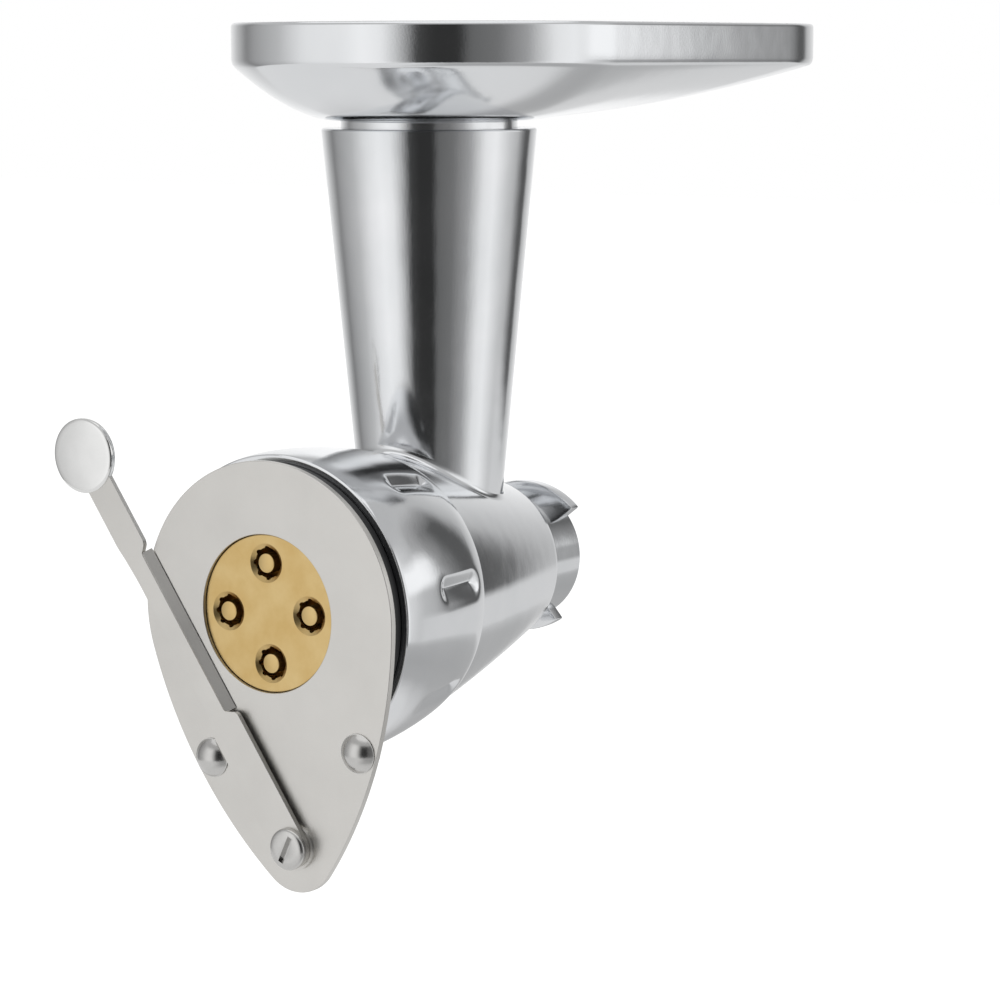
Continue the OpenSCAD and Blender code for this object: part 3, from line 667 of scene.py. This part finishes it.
def tray_outline(turn, inset):
    """Point of the tray's rim, seen from above, in the direction of a turn, moved in by a distance."""
    direction = Vector((cos(turn), sin(turn)))
    core = TRAY_CORNER
    low, high = 0.0, 400.0
    for _ in range(HALVINGS):
        reach = (low + high) / 2
        point = direction * reach
        x = max(abs(point.x) - (TRAY_HALF - core), 0.0)
        y = max(point.y - (TRAY_BACK - core), (core - TRAY_FRONT) - point.y, 0.0)
        if hypot(x, y) < core:
            low = reach
        else:
            high = reach
    point = direction * low
    x = max(abs(point.x) - (TRAY_HALF - core), 0.0) * (1 if point.x > 0 else -1)
    y = max(point.y - (TRAY_BACK - core), 0.0) - max((core - TRAY_FRONT) - point.y, 0.0)
    normal = Vector((x, y)).normalized()
    return point - normal * inset


def tray_turns(count):
    """Turns that share the rim's length evenly, so that the long sides are as fine as the corners."""
    fine = 1440
    rim = [tray_outline(2 * pi * k / fine, 0) for k in range(fine + 1)]
    length = [0.0]
    for one, two in zip(rim, rim[1:]):
        length.append(length[-1] + (two - one).length)
    turns, place = [], 0
    for k in range(count):
        goal = length[-1] * k / count
        while length[place + 1] < goal:
            place += 1
        share = (goal - length[place]) / (length[place + 1] - length[place])
        turns.append(2 * pi * (place + share) / fine)
    return turns


def tray():
    """Pressed tray: dished floor, upright rim with a rolled edge, and the neck that plugs into the tube."""
    around = 216
    turns = tray_turns(around)
    # Each row is a share of the way from collar to rim, the rim's inset and a height
    blends = [k / 22 for k in range(23)]
    outside = [(b, 1.0, TRAY_BASE + DISH_DEPTH * b ** DISH_CURVE) for b in blends]
    outside += [(1.0, 0.3, CREASE + 0.9), (1.0, 0.0, CREASE + 2.2)]
    outside += [(1.0, 0.0, CREASE + 2.2 + (RIM - CREASE - 3.4) * k / 3) for k in range(1, 4)]
    outside += [(1.0, 0.15, RIM - 0.6), (1.0, 0.5, RIM - 0.2), (1.0, 1.0, RIM), (1.0, 1.5, RIM - 0.2)]
    outside += [(1.0, 1.85, RIM - 0.6), (1.0, SHEET, RIM - 1.2)]
    inside = [(1.0, SHEET, RIM - 1.2 - (RIM - CREASE - 7.0) * k / 3) for k in range(1, 4)]
    inside += [(1.0, 2.3, CREASE + 4.0), (1.0, 3.4, CREASE + 2.6)]
    shares = [0.93 * b for b in reversed(blends)]
    inside += [(share, SHEET, TRAY_BASE + SHEET + DISH_DEPTH * share ** DISH_CURVE) for share in shares]
    neck_foot = TUBE_HEIGHT - NECK_DEPTH
    neck = [
        (NECK_BORE_R + 0.7, TRAY_BASE + 1.9), (NECK_BORE_R + 0.2, TRAY_BASE + 1.5),
        (NECK_BORE_R, TRAY_BASE + 0.8), (NECK_BORE_R, neck_foot + 0.5), (NECK_BORE_R + 0.4, neck_foot),
        (PLUG_R - 0.4, neck_foot), (PLUG_R, neck_foot + 0.5), (PLUG_R, TRAY_BASE - 0.5),
        (PLUG_R + 0.2, TRAY_BASE - 0.1), (PLUG_R + 0.8, TRAY_BASE),
    ]
    dish = outside + inside
    rows = len(dish) + len(neck)
    rims = {}

    def surface(u, v):
        turn = turns[round(u * around) % around]
        row = round(v * rows) % rows
        if row >= len(dish):
            radius, height = neck[row - len(dish)]
            return radius * cos(turn), radius * sin(turn), height
        blend, inset, height = dish[row]
        key = (turn, inset)
        if key not in rims:
            rims[key] = tray_outline(turn, inset)
        start = Vector((cos(turn), sin(turn))) * (COLLAR_R if row < len(outside) else MOUTH_R)
        point = start + (rims[key] - start) * blend
        return point.x, point.y, height

    pan = lofted("tray_pan", surface, around, rows)
    return settled(pan, AT_TUBE, "tray", "tray_aluminium", SHEET_ALUMINIUM, "hopper_tray", angle=50)


# Die
OPENINGS = [2.6 + 90 * k for k in range(4)]
PITCH_R = 13.85
FLANGE_R, FLANGE_THICK, BOSS_R = 26.3, 6, 21.75
CHAMBER_R, RELIEF_R, INNER_R, DISH_R = 5.4, 4.9, 3.2, 5.25
FLUTES, FLUTE_TIP_R, FLUTE_LAND_R, FLUTE_R = 8, 4.7, 4.2, 0.9
PIN_R = 2.7
NOSE_R = 4.06


def at_openings(piece):
    """Four copies of a piece, one at each opening of the die."""
    out = Matrix.Translation((PITCH_R, 0, 0))
    copies = [copied(piece, Matrix.Rotation(radians(angle), 4, "Z") @ out) for angle in OPENINGS]
    bpy.data.objects.remove(piece, do_unlink=True)
    return copies


def fluted_outline():
    """Outline of the opening: small round flutes in the wall of a round hole."""
    steps = FLUTES * 16
    middle = FLUTE_TIP_R - FLUTE_R
    outline = []
    for k in range(steps):
        turn = 2 * pi * k / steps
        off = abs((turn * FLUTES / (2 * pi) + 0.5) % 1 - 0.5) * 2 * pi / FLUTES
        reach = FLUTE_R ** 2 - (middle * sin(off)) ** 2
        flute = middle * cos(off) + sqrt(reach) if reach > 0 else 0.0
        radius = max(FLUTE_LAND_R, flute)
        outline.append((radius * cos(turn), radius * sin(turn)))
    return outline


def brass_die():
    """Brass die: flange, boss and four dished openings with fluted walls."""
    step = DIE_BACK + FLANGE_THICK
    disc = turned("brass_die_disc", [
        (0, DIE_BACK), (FLANGE_R - 0.4, DIE_BACK), (FLANGE_R, DIE_BACK + 0.4), (FLANGE_R, step - 0.4),
        (FLANGE_R - 0.4, step), (BOSS_R, step), (BOSS_R, DIE_FACE - 0.3), (BOSS_R - 0.08, DIE_FACE - 0.1),
        (BOSS_R - 0.25, DIE_FACE), (0, DIE_FACE),
    ], ROUND_STEPS)
    behind, ahead = DIE_BACK - 1, DIE_FACE + 2
    opening = turned("opening", [
        (0, behind), (CHAMBER_R, behind), (CHAMBER_R, DIE_FACE - 5), (RELIEF_R, DIE_FACE - 4.6),
        (RELIEF_R, DIE_FACE - 2.6), (INNER_R, DIE_FACE - 2.6), (INNER_R, DIE_FACE - 1.15),
        (INNER_R + 0.65, DIE_FACE - 1.15), (DISH_R, DIE_FACE - 0.12), (DISH_R + 0.25, DIE_FACE + 0.05),
        (DISH_R + 0.25, ahead), (0, ahead),
    ], 72)
    flutes = sheet_cut("flutes", fluted_outline(), DIE_FACE - 3.4, DIE_FACE + 1)
    combined(opening, flutes, "UNION")
    for copy in at_openings(opening):
        combined(disc, copy, "DIFFERENCE")
    deep = DIE_BACK + 5
    seat = turned("nose_seat", [(0, behind), (NOSE_R, behind), (NOSE_R, deep), (0, deep)], 48)
    combined(disc, seat, "DIFFERENCE")
    return settled(disc, FORWARD, "die", "die_brass", TURNED_BRASS, "die", "die_inserts")


def brass_pins():
    """The pin in each opening, held by a bridge at the die's back."""
    low = DIE_BACK + 1
    pin = turned("pin", [
        (0, low), (PIN_R, low), (PIN_R, DIE_FACE - 0.3), (PIN_R - 0.08, DIE_FACE - 0.1),
        (PIN_R - 0.3, DIE_FACE), (0, DIE_FACE),
    ], 48)
    reach, half = CHAMBER_R - 0.05, 1.2
    outline = [(-reach, -half), (reach, -half), (reach, half), (-reach, half)]
    for angle in (0, 60, 120):
        bar = sheet_cut("bridge", outline, low, low + 3)
        eased(bar, 0.25, 2)
        bar.data.transform(Matrix.Rotation(radians(angle), 4, "Z"))
        combined(pin, bar, "UNION")
    pins = joined("brass_pins", at_openings(pin))
    return settled(pins, FORWARD, "die", "die_brass", TURNED_BRASS, "die_mandrels")


# Cutter plate
def arc(centre, radius, start, end, steps):
    """Points of an arc about a centre, from one angle to another in degrees."""
    return [
        (centre[0] + radius * cos(radians(start + (end - start) * k / steps)),
         centre[1] + radius * sin(radians(start + (end - start) * k / steps)))
        for k in range(steps + 1)
    ]


def plate_outline():
    """Outline of the cutter plate: a round, a tip and two long side curves that touch both."""
    plate_r, tip_r, side_r = 42, 12.9, 130
    to_round, to_tip = side_r - plate_r, side_r - tip_r
    rise = (PIVOT_DROP ** 2 + to_round ** 2 - to_tip ** 2) / (2 * PIVOT_DROP)
    across = sqrt(to_round ** 2 - rise ** 2)
    centre = (-across, -rise)
    upper = atan2(rise, across) * 180 / pi
    lower = atan2(rise - PIVOT_DROP, across) * 180 / pi
    right = arc(centre, side_r, lower, upper, 24)
    top = arc((0, 0), plate_r, upper, 180 - upper, 110)
    left = [(-x, y) for x, y in reversed(right)]
    tip = arc((0, -PIVOT_DROP), tip_r, -180 - lower, lower, 40)
    return right[:-1] + top + left[1:] + tip[1:-1]


def cutter_plate():
    """Stainless cutter plate with tumbled edges and the die's window."""
    plate = sheet_cut("cutter_plate_sheet", plate_outline(), PLATE_BACK, PLATE_FRONT)
    behind, ahead = PLATE_BACK - 2, PLATE_FRONT + 2
    window = turned("window", [(0, behind), (WINDOW_R, behind), (WINDOW_R, ahead), (0, ahead)], ROUND_STEPS)
    combined(plate, window, "DIFFERENCE")
    eased(plate, 0.3, 3, 60)
    return settled(plate, ON_PLATE, "cutter", "satin_stainless", SATIN_STAINLESS, "cutter_plate")


EAR_BACK = PLATE_BACK - 2.15


def clip_ring():
    """Moulded clip ring with its snap bead and two ears for the rivets."""
    ring_r, sleeve_r = 41.2, 24.2
    front, foot = PLATE_BACK - 0.02, RING_FRONT - 4.2
    ring = turned("clip_ring_mould", [
        (ring_r - 0.3, CLIP_BACK), (ring_r, CLIP_BACK + 0.3), (ring_r, front - 0.3), (ring_r - 0.3, front),
        (WINDOW_R, front), (WINDOW_R, foot), (sleeve_r - 0.3, foot), (sleeve_r, foot + 0.6),
        (sleeve_r, RING_FRONT - 2.8), (sleeve_r + 0.8, RING_FRONT - 2.4), (sleeve_r + 0.8, RING_FRONT - 1.8),
        (sleeve_r, RING_FRONT - 1.5), (sleeve_r, CLIP_BACK),
    ], ROUND_STEPS)
    reach = hypot(RIVET_ACROSS, RIVET_DOWN)
    for side in (-1, 1):
        turn = side * atan2(RIVET_ACROSS, RIVET_DOWN)
        outline = arc((0, -reach), 4.6, 190, 350, 20) + [(7.6, -37.4), (-7.6, -37.4)]
        ear = sheet_cut("ear", outline, EAR_BACK, front)
        eased(ear, 0.3, 2, 60)
        ear.data.transform(Matrix.Rotation(turn, 4, "Z"))
        combined(ring, ear, "UNION")
    return settled(ring, ON_PLATE, "cutter", "black_plastic", BLACK_NYLON, "clip_ring")


def rivets():
    """Two domed rivets that stop the lever, with their burrs and clenched tails at the back."""
    height, radius = 3.0, 5.5
    dome_r = (radius ** 2 + height ** 2) / (2 * height)
    tip = PLATE_FRONT + height
    sweep = asin(radius / dome_r)
    dome = [
        (dome_r * sin(sweep * k / 14), tip - dome_r + dome_r * cos(sweep * k / 14)) for k in range(14)
    ]
    back = EAR_BACK - 0.6
    rivet = turned("rivet", dome + [
        (radius - 0.02, PLATE_FRONT + 0.3), (radius - 0.15, PLATE_FRONT + 0.08), (radius - 0.45, PLATE_FRONT),
        (2.0, PLATE_FRONT), (2.0, back), (3.0, back), (2.9, back - 0.45), (2.4, back - 0.75), (0, back - 0.8),
    ], 64)
    places = [Matrix.Translation((across, -RIVET_DOWN, 0)) for across in (-RIVET_ACROSS, RIVET_ACROSS)]
    studs = joined("stop_rivets", [copied(rivet, place) for place in places])
    bpy.data.objects.remove(rivet, do_unlink=True)
    return settled(studs, ON_PLATE, "cutter", "polished_steel", HEADED_STAINLESS, "stop_studs")


SLOT_TURN = -33


def pivot_screw():
    """Slotted shoulder screw with a rolled head edge."""
    head, shank, top = 5.8, 2.5, STRIP_FRONT + 2.2
    end = PLATE_BACK - 4.2
    screw = turned("slotted_screw", [
        (0, end), (shank - 0.6, end), (shank, end + 0.6), (shank, STRIP_FRONT + 0.02),
        (head - 0.3, STRIP_FRONT + 0.02), (head, STRIP_FRONT + 0.3), (head, top - 1.1),
        (head - 0.08, top - 0.8), (head - 0.3, top - 0.5), (head - 0.75, top - 0.22),
        (head - 1.5, top - 0.05), (head - 2.4, top), (0, top),
    ], 96)
    slot = sheet_cut("slot", [(-0.85, -4), (0.85, -4), (0.85, 4), (-0.85, 4)], top - 1.3, top + 1)
    slot.data.transform(Matrix.Rotation(radians(SLOT_TURN), 4, "Z"))
    combined(screw, slot, "DIFFERENCE")
    eased(screw, 0.12, 2, 60)
    return settled(screw, AT_PIVOT, "cutter", "polished_steel", HEADED_STAINLESS, "pivot_screw")


# Lever: the strip runs up from the pivot, with the blade along its right edge
REACH = 125.4
END_R = 4.6
BLADE_LOW, BLADE_HIGH = 41.4, 92.5
PIVOT_HOLE_R = 4.06


def strip_points():
    """Outline of the lever's strip: round foot, shank, blade stretch and neck."""
    foot = arc((0, 0), 5.6, 180, 360, 32)
    right = [
        (5.6, 38.6), (5.45, 39.4), (5.0, 40.1), (2.9, 41.3), (2.3, 41.7), (2.0, 42.4), (2.0, 91.6),
        (2.25, 92.4), (3.3, 93.2), (4.1, 93.9), (END_R, 95.2),
    ]
    end = arc((0, REACH), END_R, 0, 180, 24)
    left = [
        (-END_R, 98.6), (-4.5, 97.0), (-4.15, 94.0), (-3.8, 88), (-3.7, 84.5), (-3.75, 80), (-4.2, 44),
        (-4.5, 41.8), (-5.3, 38.4), (-5.55, 36.5),
    ]
    return foot + right + end + left


def cutter_lever():
    """Lever strip with tumbled edges and its blade, a flange bent back towards the plate."""
    strip = sheet_cut("lever_strip", strip_points(), STRIP_BACK, STRIP_FRONT)
    edge = PLATE_FRONT + 0.25
    blade_points = [
        (1.2, STRIP_BACK + 0.25), (1.7, STRIP_FRONT - 0.02), (2.3, STRIP_FRONT - 0.35), (4.5, edge),
        (3.4, edge),
    ]
    # The blade's section is drawn flat, raised along the blade, and tipped over so that it runs along y
    blade = sheet_cut("blade", blade_points, BLADE_LOW, BLADE_HIGH)
    tipped = Matrix(((1, 0, 0, 0), (0, 0, -1, 0), (0, 1, 0, 0), (0, 0, 0, 1)))
    blade.data.transform(Matrix.Translation((0, BLADE_LOW + BLADE_HIGH, 0)) @ tipped)
    in_edit(blade, mend)
    combined(strip, blade, "UNION")
    behind, ahead = STRIP_BACK - 2, STRIP_FRONT + 2
    hole = turned("hole", [(0, behind), (PIVOT_HOLE_R, behind), (PIVOT_HOLE_R, ahead), (0, ahead)], 64)
    combined(strip, hole, "DIFFERENCE")
    eased(strip, 0.38, 3, 50)
    return settled(strip, ON_LEVER, "lever", "satin_stainless", SATIN_STAINLESS, "cutter_lever")


def lever_knob():
    """Turned knob: a shallow dome with a rolled rim, over the strip's end."""
    radius, top = 10.6, STRIP_FRONT + 1.2
    dome = [((radius - 1.1) * (10 - k) / 10, top - 0.5 * ((10 - k) / 10) ** 2) for k in range(11)]
    knob = turned("knob", [
        (0, STRIP_BACK), (radius - 0.5, STRIP_BACK), (radius - 0.1, STRIP_BACK + 0.25),
        (radius, STRIP_BACK + 0.7), (radius, top - 1.3), (radius - 0.1, top - 0.95),
        (radius - 0.45, top - 0.65),
    ] + dome, 128)
    knob.data.transform(Matrix.Translation((0, REACH, 0)))
    snug = END_R + 0.02
    outline = [(-snug, 100), (snug, 100)] + arc((0, REACH), snug, 0, 180, 24)
    pocket = sheet_cut("pocket", outline, STRIP_BACK - 1, STRIP_FRONT + 0.01)
    combined(knob, pocket, "DIFFERENCE")
    return settled(knob, ON_LEVER, "lever", "polished_steel", BRIGHT_STAINLESS, "lever_knob")


# Screw and drive
SCREW_REAR, SCREW_FRONT, FLIGHT_PITCH = 15.3, 92.0, 24.0
CORE_REAR_R, CORE_FRONT_R = 9.5, 14.0
FLIGHT_CLEARANCE = 0.6
CREST_HALF, FLANK = 22, 24


def core_r(forward):
    """Radius of the screw's core."""
    return CORE_REAR_R + (CORE_FRONT_R - CORE_REAR_R) * (forward - SCREW_REAR) / (SCREW_FRONT - SCREW_REAR)


def auger():
    """Cast screw: a growing core with one flight whose crest runs just clear of the bore."""

    def surface(u, v):
        forward = SCREW_REAR + (SCREW_FRONT - SCREW_REAR) * v
        core, crest = core_r(forward), bore_r(forward) - FLIGHT_CLEARANCE
        turn = 360 * u
        off = abs((turn + 180) % 360 - 180)
        share = min(max((off - CREST_HALF) / FLANK, 0.0), 1.0)
        radius = crest + (core - crest) * (share * share * (3 - 2 * share))
        at = radians(turn - 360 * (forward - SCREW_REAR) / FLIGHT_PITCH)
        return radius * cos(at), radius * sin(at), forward

    screw = lofted("auger", surface, 60, 240, caps=True)
    return settled(screw, FORWARD, "screw", "screw_aluminium", RAW_ALUMINIUM, "pasta_screw", angle=40)


def drive_coupling():
    """Moulded coupling with the slot for the mixer's drive tongue."""
    coupling = turned("drive_socket", [
        (0, -17.5), (13.5, -17.5), (14, -17), (14, -5.5), (13.5, -5), (0, -5),
    ], 96)
    slot = sheet_cut("slot", [(-3, -16), (3, -16), (3, 16), (-3, 16)], -19, -11.5)
    combined(coupling, slot, "DIFFERENCE")
    eased(coupling, 0.4, 2, 60)
    return settled(coupling, FORWARD, "screw", "white_plastic", WHITE_ACETAL, "drive_coupling")


# Studio, in metres
FLOOR_LEVEL = -0.32
TENT_R = 0.9
TENT_TOP = 1.2
TENT_MIDDLE = (TENT_TOP + FLOOR_LEVEL) / 2
GLOW_TOP = -0.11
FADE_START = 0.42
GLOW_SHADE, WINDOW_SHADE, HIGH_SHADE = "#CECECE", "#FAFAFA", "#B8B8B8"
SCREEN_STRENGTH = 1.15
# The window to the right of the tray: its edges by bearing, and by height
WINDOW_ACROSS = [(78, "#000000"), (88, "#FFFFFF"), (109, "#FFFFFF"), (114, "#000000")]
WINDOW_HEIGHT = [(0.05, "#000000"), (0.11, "#FFFFFF"), (0.26, "#FFFFFF"), (0.36, "#000000")]
# Screens round the object by their bearing from the camera, in degrees to the right of it: a dark flag
# behind the camera, a soft box on either side, thin dark gaps behind those and a white wall at the back
SCREENS = [
    (-180, "#FAFAFA"), (-150, "#D0D0D0"), (-125, "#808080"), (-115, "#989898"), (-90, "#B8B8B8"),
    (-70, "#E4E4E4"), (-55, "#F2F2F2"), (-42, "#EAEAEA"), (-34, "#C8C8C8"), (-22, "#404040"),
    (-12, "#303030"), (2, "#303030"), (8, "#646464"), (24, "#707070"), (42, "#9C9C9C"), (60, "#E6E6E6"),
    (74, "#F0F0F0"), (96, "#C8C8C8"), (108, "#B4B4B4"), (117, "#848484"), (124, "#585858"),
    (132, "#545454"), (138, "#B4B4B4"), (150, "#D0D0D0"), (180, "#FAFAFA"),
]
CAMERA_BEARING = -55.2
# What the metal mirrors of the floor, as painted light and shade: a painted shade by distance from the
# middle, and a painted brighter left side
PAINTED_FLOOR_SHADES = [
    (0.1, "#E6E6E6"), (0.28, "#E0E0E0"), (0.4, "#B4B4B4"), (0.55, "#B0B0B0"), (0.78, "#B8B8B8"),
    (0.9, "#CECECE"),
]
LEFTWARD, PAINTED_LEFT_LIGHT = (-0.82, -0.57, 0), "#E6E6E6"
WORLD_LIGHT = 0.5
AIM = Vector((0, -0.06, 0.04))


def by_bearing(angle):
    """A bearing in degrees as a share of the full turn, from straight behind."""
    return (angle + 180) / 360


def studio_material(name, look):
    """A studio surface whose shader is built by a function of its tree."""
    material = bpy.data.materials.new(name)
    material.use_nodes = True
    tree = material.node_tree
    for old in list(tree.nodes):
        tree.nodes.remove(old)
    add_node(tree, "ShaderNodeOutputMaterial", {"Surface": look(tree)})
    return material


def tent_look(tree):
    """Screens by bearing, with a glow below, a window on the right and an even grey above."""
    place = add_node(tree, "ShaderNodeTexCoord").outputs["Object"]
    turned_place = add_node(
        tree, "ShaderNodeMapping", {"Vector": place, "Rotation": (0, 0, radians(-CAMERA_BEARING))}
    )
    bearing = add_node(
        tree, "ShaderNodeTexGradient", {"Vector": turned_place.outputs["Vector"]}, gradient_type="RADIAL"
    )
    shades = add_node(tree, "ShaderNodeValToRGB", {"Fac": bearing.outputs["Fac"]})
    ramp_stops(shades, [(by_bearing(angle), code) for angle, code in SCREENS])
    # The floor's far edge glows under the screens on the right and behind
    behind = add_node(
        tree, "ShaderNodeMapRange",
        {"Value": bearing.outputs["Fac"], "From Min": by_bearing(94), "From Max": by_bearing(106)},
    )
    height = add_node(tree, "ShaderNodeSeparateXYZ", {"Vector": place}).outputs["Z"]
    low = add_node(
        tree, "ShaderNodeMapRange",
        {"Value": height, "From Min": GLOW_TOP - TENT_MIDDLE, "From Max": GLOW_TOP - TENT_MIDDLE - 0.05},
    )
    glow = add_node(
        tree, "ShaderNodeMath", {0: behind.outputs["Result"], 1: low.outputs["Result"]}, operation="MULTIPLY"
    )
    colour = add_node(
        tree, "ShaderNodeMix",
        {0: glow.outputs[0], 6: shades.outputs["Color"], 7: linear(GLOW_SHADE)}, data_type="RGBA",
    )
    across = add_node(tree, "ShaderNodeValToRGB", {"Fac": bearing.outputs["Fac"]})
    ramp_stops(across, [(by_bearing(angle), code) for angle, code in WINDOW_ACROSS])
    span = 0.6
    upright = add_node(tree, "ShaderNodeMapRange", {"Value": height, "From Min": -span, "From Max": span})
    along = add_node(tree, "ShaderNodeValToRGB", {"Fac": upright.outputs["Result"]})
    ramp_stops(along, [((level - TENT_MIDDLE + span) / (2 * span), code) for level, code in WINDOW_HEIGHT])
    window = add_node(
        tree, "ShaderNodeMath", {0: across.outputs["Color"], 1: along.outputs["Color"]}, operation="MULTIPLY"
    )
    colour = add_node(
        tree, "ShaderNodeMix",
        {0: window.outputs[0], 6: colour.outputs[2], 7: linear(WINDOW_SHADE)}, data_type="RGBA",
    )
    # Above the object all the screens end in an even grey
    high = add_node(
        tree, "ShaderNodeMapRange",
        {"Value": height, "From Min": FADE_START - TENT_MIDDLE, "From Max": FADE_START - TENT_MIDDLE + 0.2},
    )
    colour = add_node(
        tree, "ShaderNodeMix",
        {0: high.outputs["Result"], 6: colour.outputs[2], 7: linear(HIGH_SHADE)}, data_type="RGBA",
    )
    return add_node(
        tree, "ShaderNodeEmission", {"Color": colour.outputs[2], "Strength": SCREEN_STRENGTH}
    ).outputs["Emission"]


def floor_look(tree):
    """White to the camera but for the object's shadow, and a pale grey that the metal mirrors, with painted
    shade by distance from the middle and a painted brighter left side.
    """
    paths = add_node(tree, "ShaderNodeLightPath")
    plain = add_node(tree, "ShaderNodeBsdfDiffuse", {"Color": linear("#D8D8D8")}).outputs["BSDF"]
    white = add_node(tree, "ShaderNodeEmission", {"Color": (1, 1, 1, 1), "Strength": 0.8}).outputs["Emission"]
    lit = add_node(tree, "ShaderNodeAddShader", {0: plain, 1: white}).outputs["Shader"]
    place = add_node(tree, "ShaderNodeTexCoord").outputs["Object"]
    reach = add_node(tree, "ShaderNodeVectorMath", {0: place}, operation="LENGTH").outputs["Value"]
    # Painted shade by distance from the middle and a painted brighter left side, seen only in the metal's
    # reflections
    shades = add_node(tree, "ShaderNodeValToRGB", {"Fac": reach})
    ramp_stops(shades, PAINTED_FLOOR_SHADES)
    leftward = add_node(
        tree, "ShaderNodeVectorMath", {0: place, 1: LEFTWARD}, operation="DOT_PRODUCT"
    ).outputs["Value"]
    left = add_node(tree, "ShaderNodeMapRange", {"Value": leftward, "From Min": 0.05, "From Max": 0.3})
    shades = add_node(
        tree, "ShaderNodeMix",
        {0: left.outputs["Result"], 6: shades.outputs["Color"], 7: linear(PAINTED_LEFT_LIGHT)}, data_type="RGBA",
    )
    mirrored = add_node(tree, "ShaderNodeEmission", {"Color": shades.outputs[2]}).outputs["Emission"]
    seen = add_node(
        tree, "ShaderNodeMixShader", {0: paths.outputs["Is Camera Ray"], 1: plain, 2: lit}
    ).outputs["Shader"]
    return add_node(
        tree, "ShaderNodeMixShader", {0: paths.outputs["Is Glossy Ray"], 1: seen, 2: mirrored}
    ).outputs["Shader"]


def soft_lamp(name, place, size, power):
    """A square soft lamp aimed at the object, which shows in no reflection."""
    light = bpy.data.lights.new(name, "AREA")
    light.shape = "SQUARE"
    light.size = size
    light.energy = power
    lamp = bpy.data.objects.new(name, light)
    lamp.location = place
    lamp.rotation_euler = (AIM - Vector(place)).to_track_quat("-Z", "Y").to_euler()
    lamp.visible_glossy = False
    bpy.context.scene.collection.objects.link(lamp)


def studio():
    """White world, pale floor, soft lamps and the screens that only the metal mirrors."""
    scene = bpy.context.scene
    scene.view_settings.view_transform = "Standard"
    world = bpy.data.worlds.new("white_studio")
    scene.world = world
    world.use_nodes = True
    tree = world.node_tree
    paths = add_node(tree, "ShaderNodeLightPath")
    seen = add_node(
        tree, "ShaderNodeMath", {0: paths.outputs["Is Camera Ray"], 1: paths.outputs["Is Glossy Ray"]},
        operation="MAXIMUM",
    )
    seen = add_node(
        tree, "ShaderNodeMath", {0: seen.outputs[0], 1: paths.outputs["Is Transmission Ray"]},
        operation="MAXIMUM",
    )
    strength = add_node(
        tree, "ShaderNodeMapRange", {"Value": seen.outputs[0], "To Min": WORLD_LIGHT, "To Max": 1.0}
    )
    background = tree.nodes["Background"]
    background.inputs["Color"].default_value = (1, 1, 1, 1)
    tree.links.new(strength.outputs["Result"], background.inputs["Strength"])

    bpy.ops.mesh.primitive_plane_add(size=16, location=(0, 0, FLOOR_LEVEL))
    ground = started("floor")
    ground.data.materials.append(studio_material("studio floor", floor_look))

    bpy.ops.mesh.primitive_cylinder_add(
        vertices=128, radius=TENT_R, depth=TENT_TOP - FLOOR_LEVEL, end_fill_type="NOTHING",
        location=(0, 0, TENT_MIDDLE),
    )
    tent = started("screens")
    tent.data.materials.append(studio_material("studio screens", tent_look))
    for ray in ("camera", "diffuse", "transmission", "volume_scatter", "shadow"):
        setattr(tent, "visible_" + ray, False)

    soft_lamp("key_lamp", (-0.75, -0.95, 0.85), 0.7, 7)
    soft_lamp("fill_lamp", (1.1, -0.5, 0.5), 0.8, 2)


aim_camera()
press_body()
ring_nut()
tray()
brass_die()
brass_pins()
cutter_plate()
clip_ring()
rivets()
pivot_screw()
cutter_lever()
lever_knob()
auger()
drive_coupling()

for name, material in {
    "key_pin": BRIGHT_STAINLESS, "rear_bush": WHITE_ACETAL, "thrust_washer": BEARING_BRONZE,
    "nose_pin": BRIGHT_STAINLESS, "drive_shaft": BRIGHT_STAINLESS, "screw_pin": BRIGHT_STAINLESS,
    "coupling_pin": BRIGHT_STAINLESS, "rivet_burrs": BRIGHT_STAINLESS, "pivot_bush": BRIGHT_STAINLESS,
    "spring_washer": SATIN_STAINLESS, "pivot_nut": BRIGHT_STAINLESS,
}.items():
    nodes[name].data.materials.clear()
    nodes[name].data.materials.append(material)

studio()
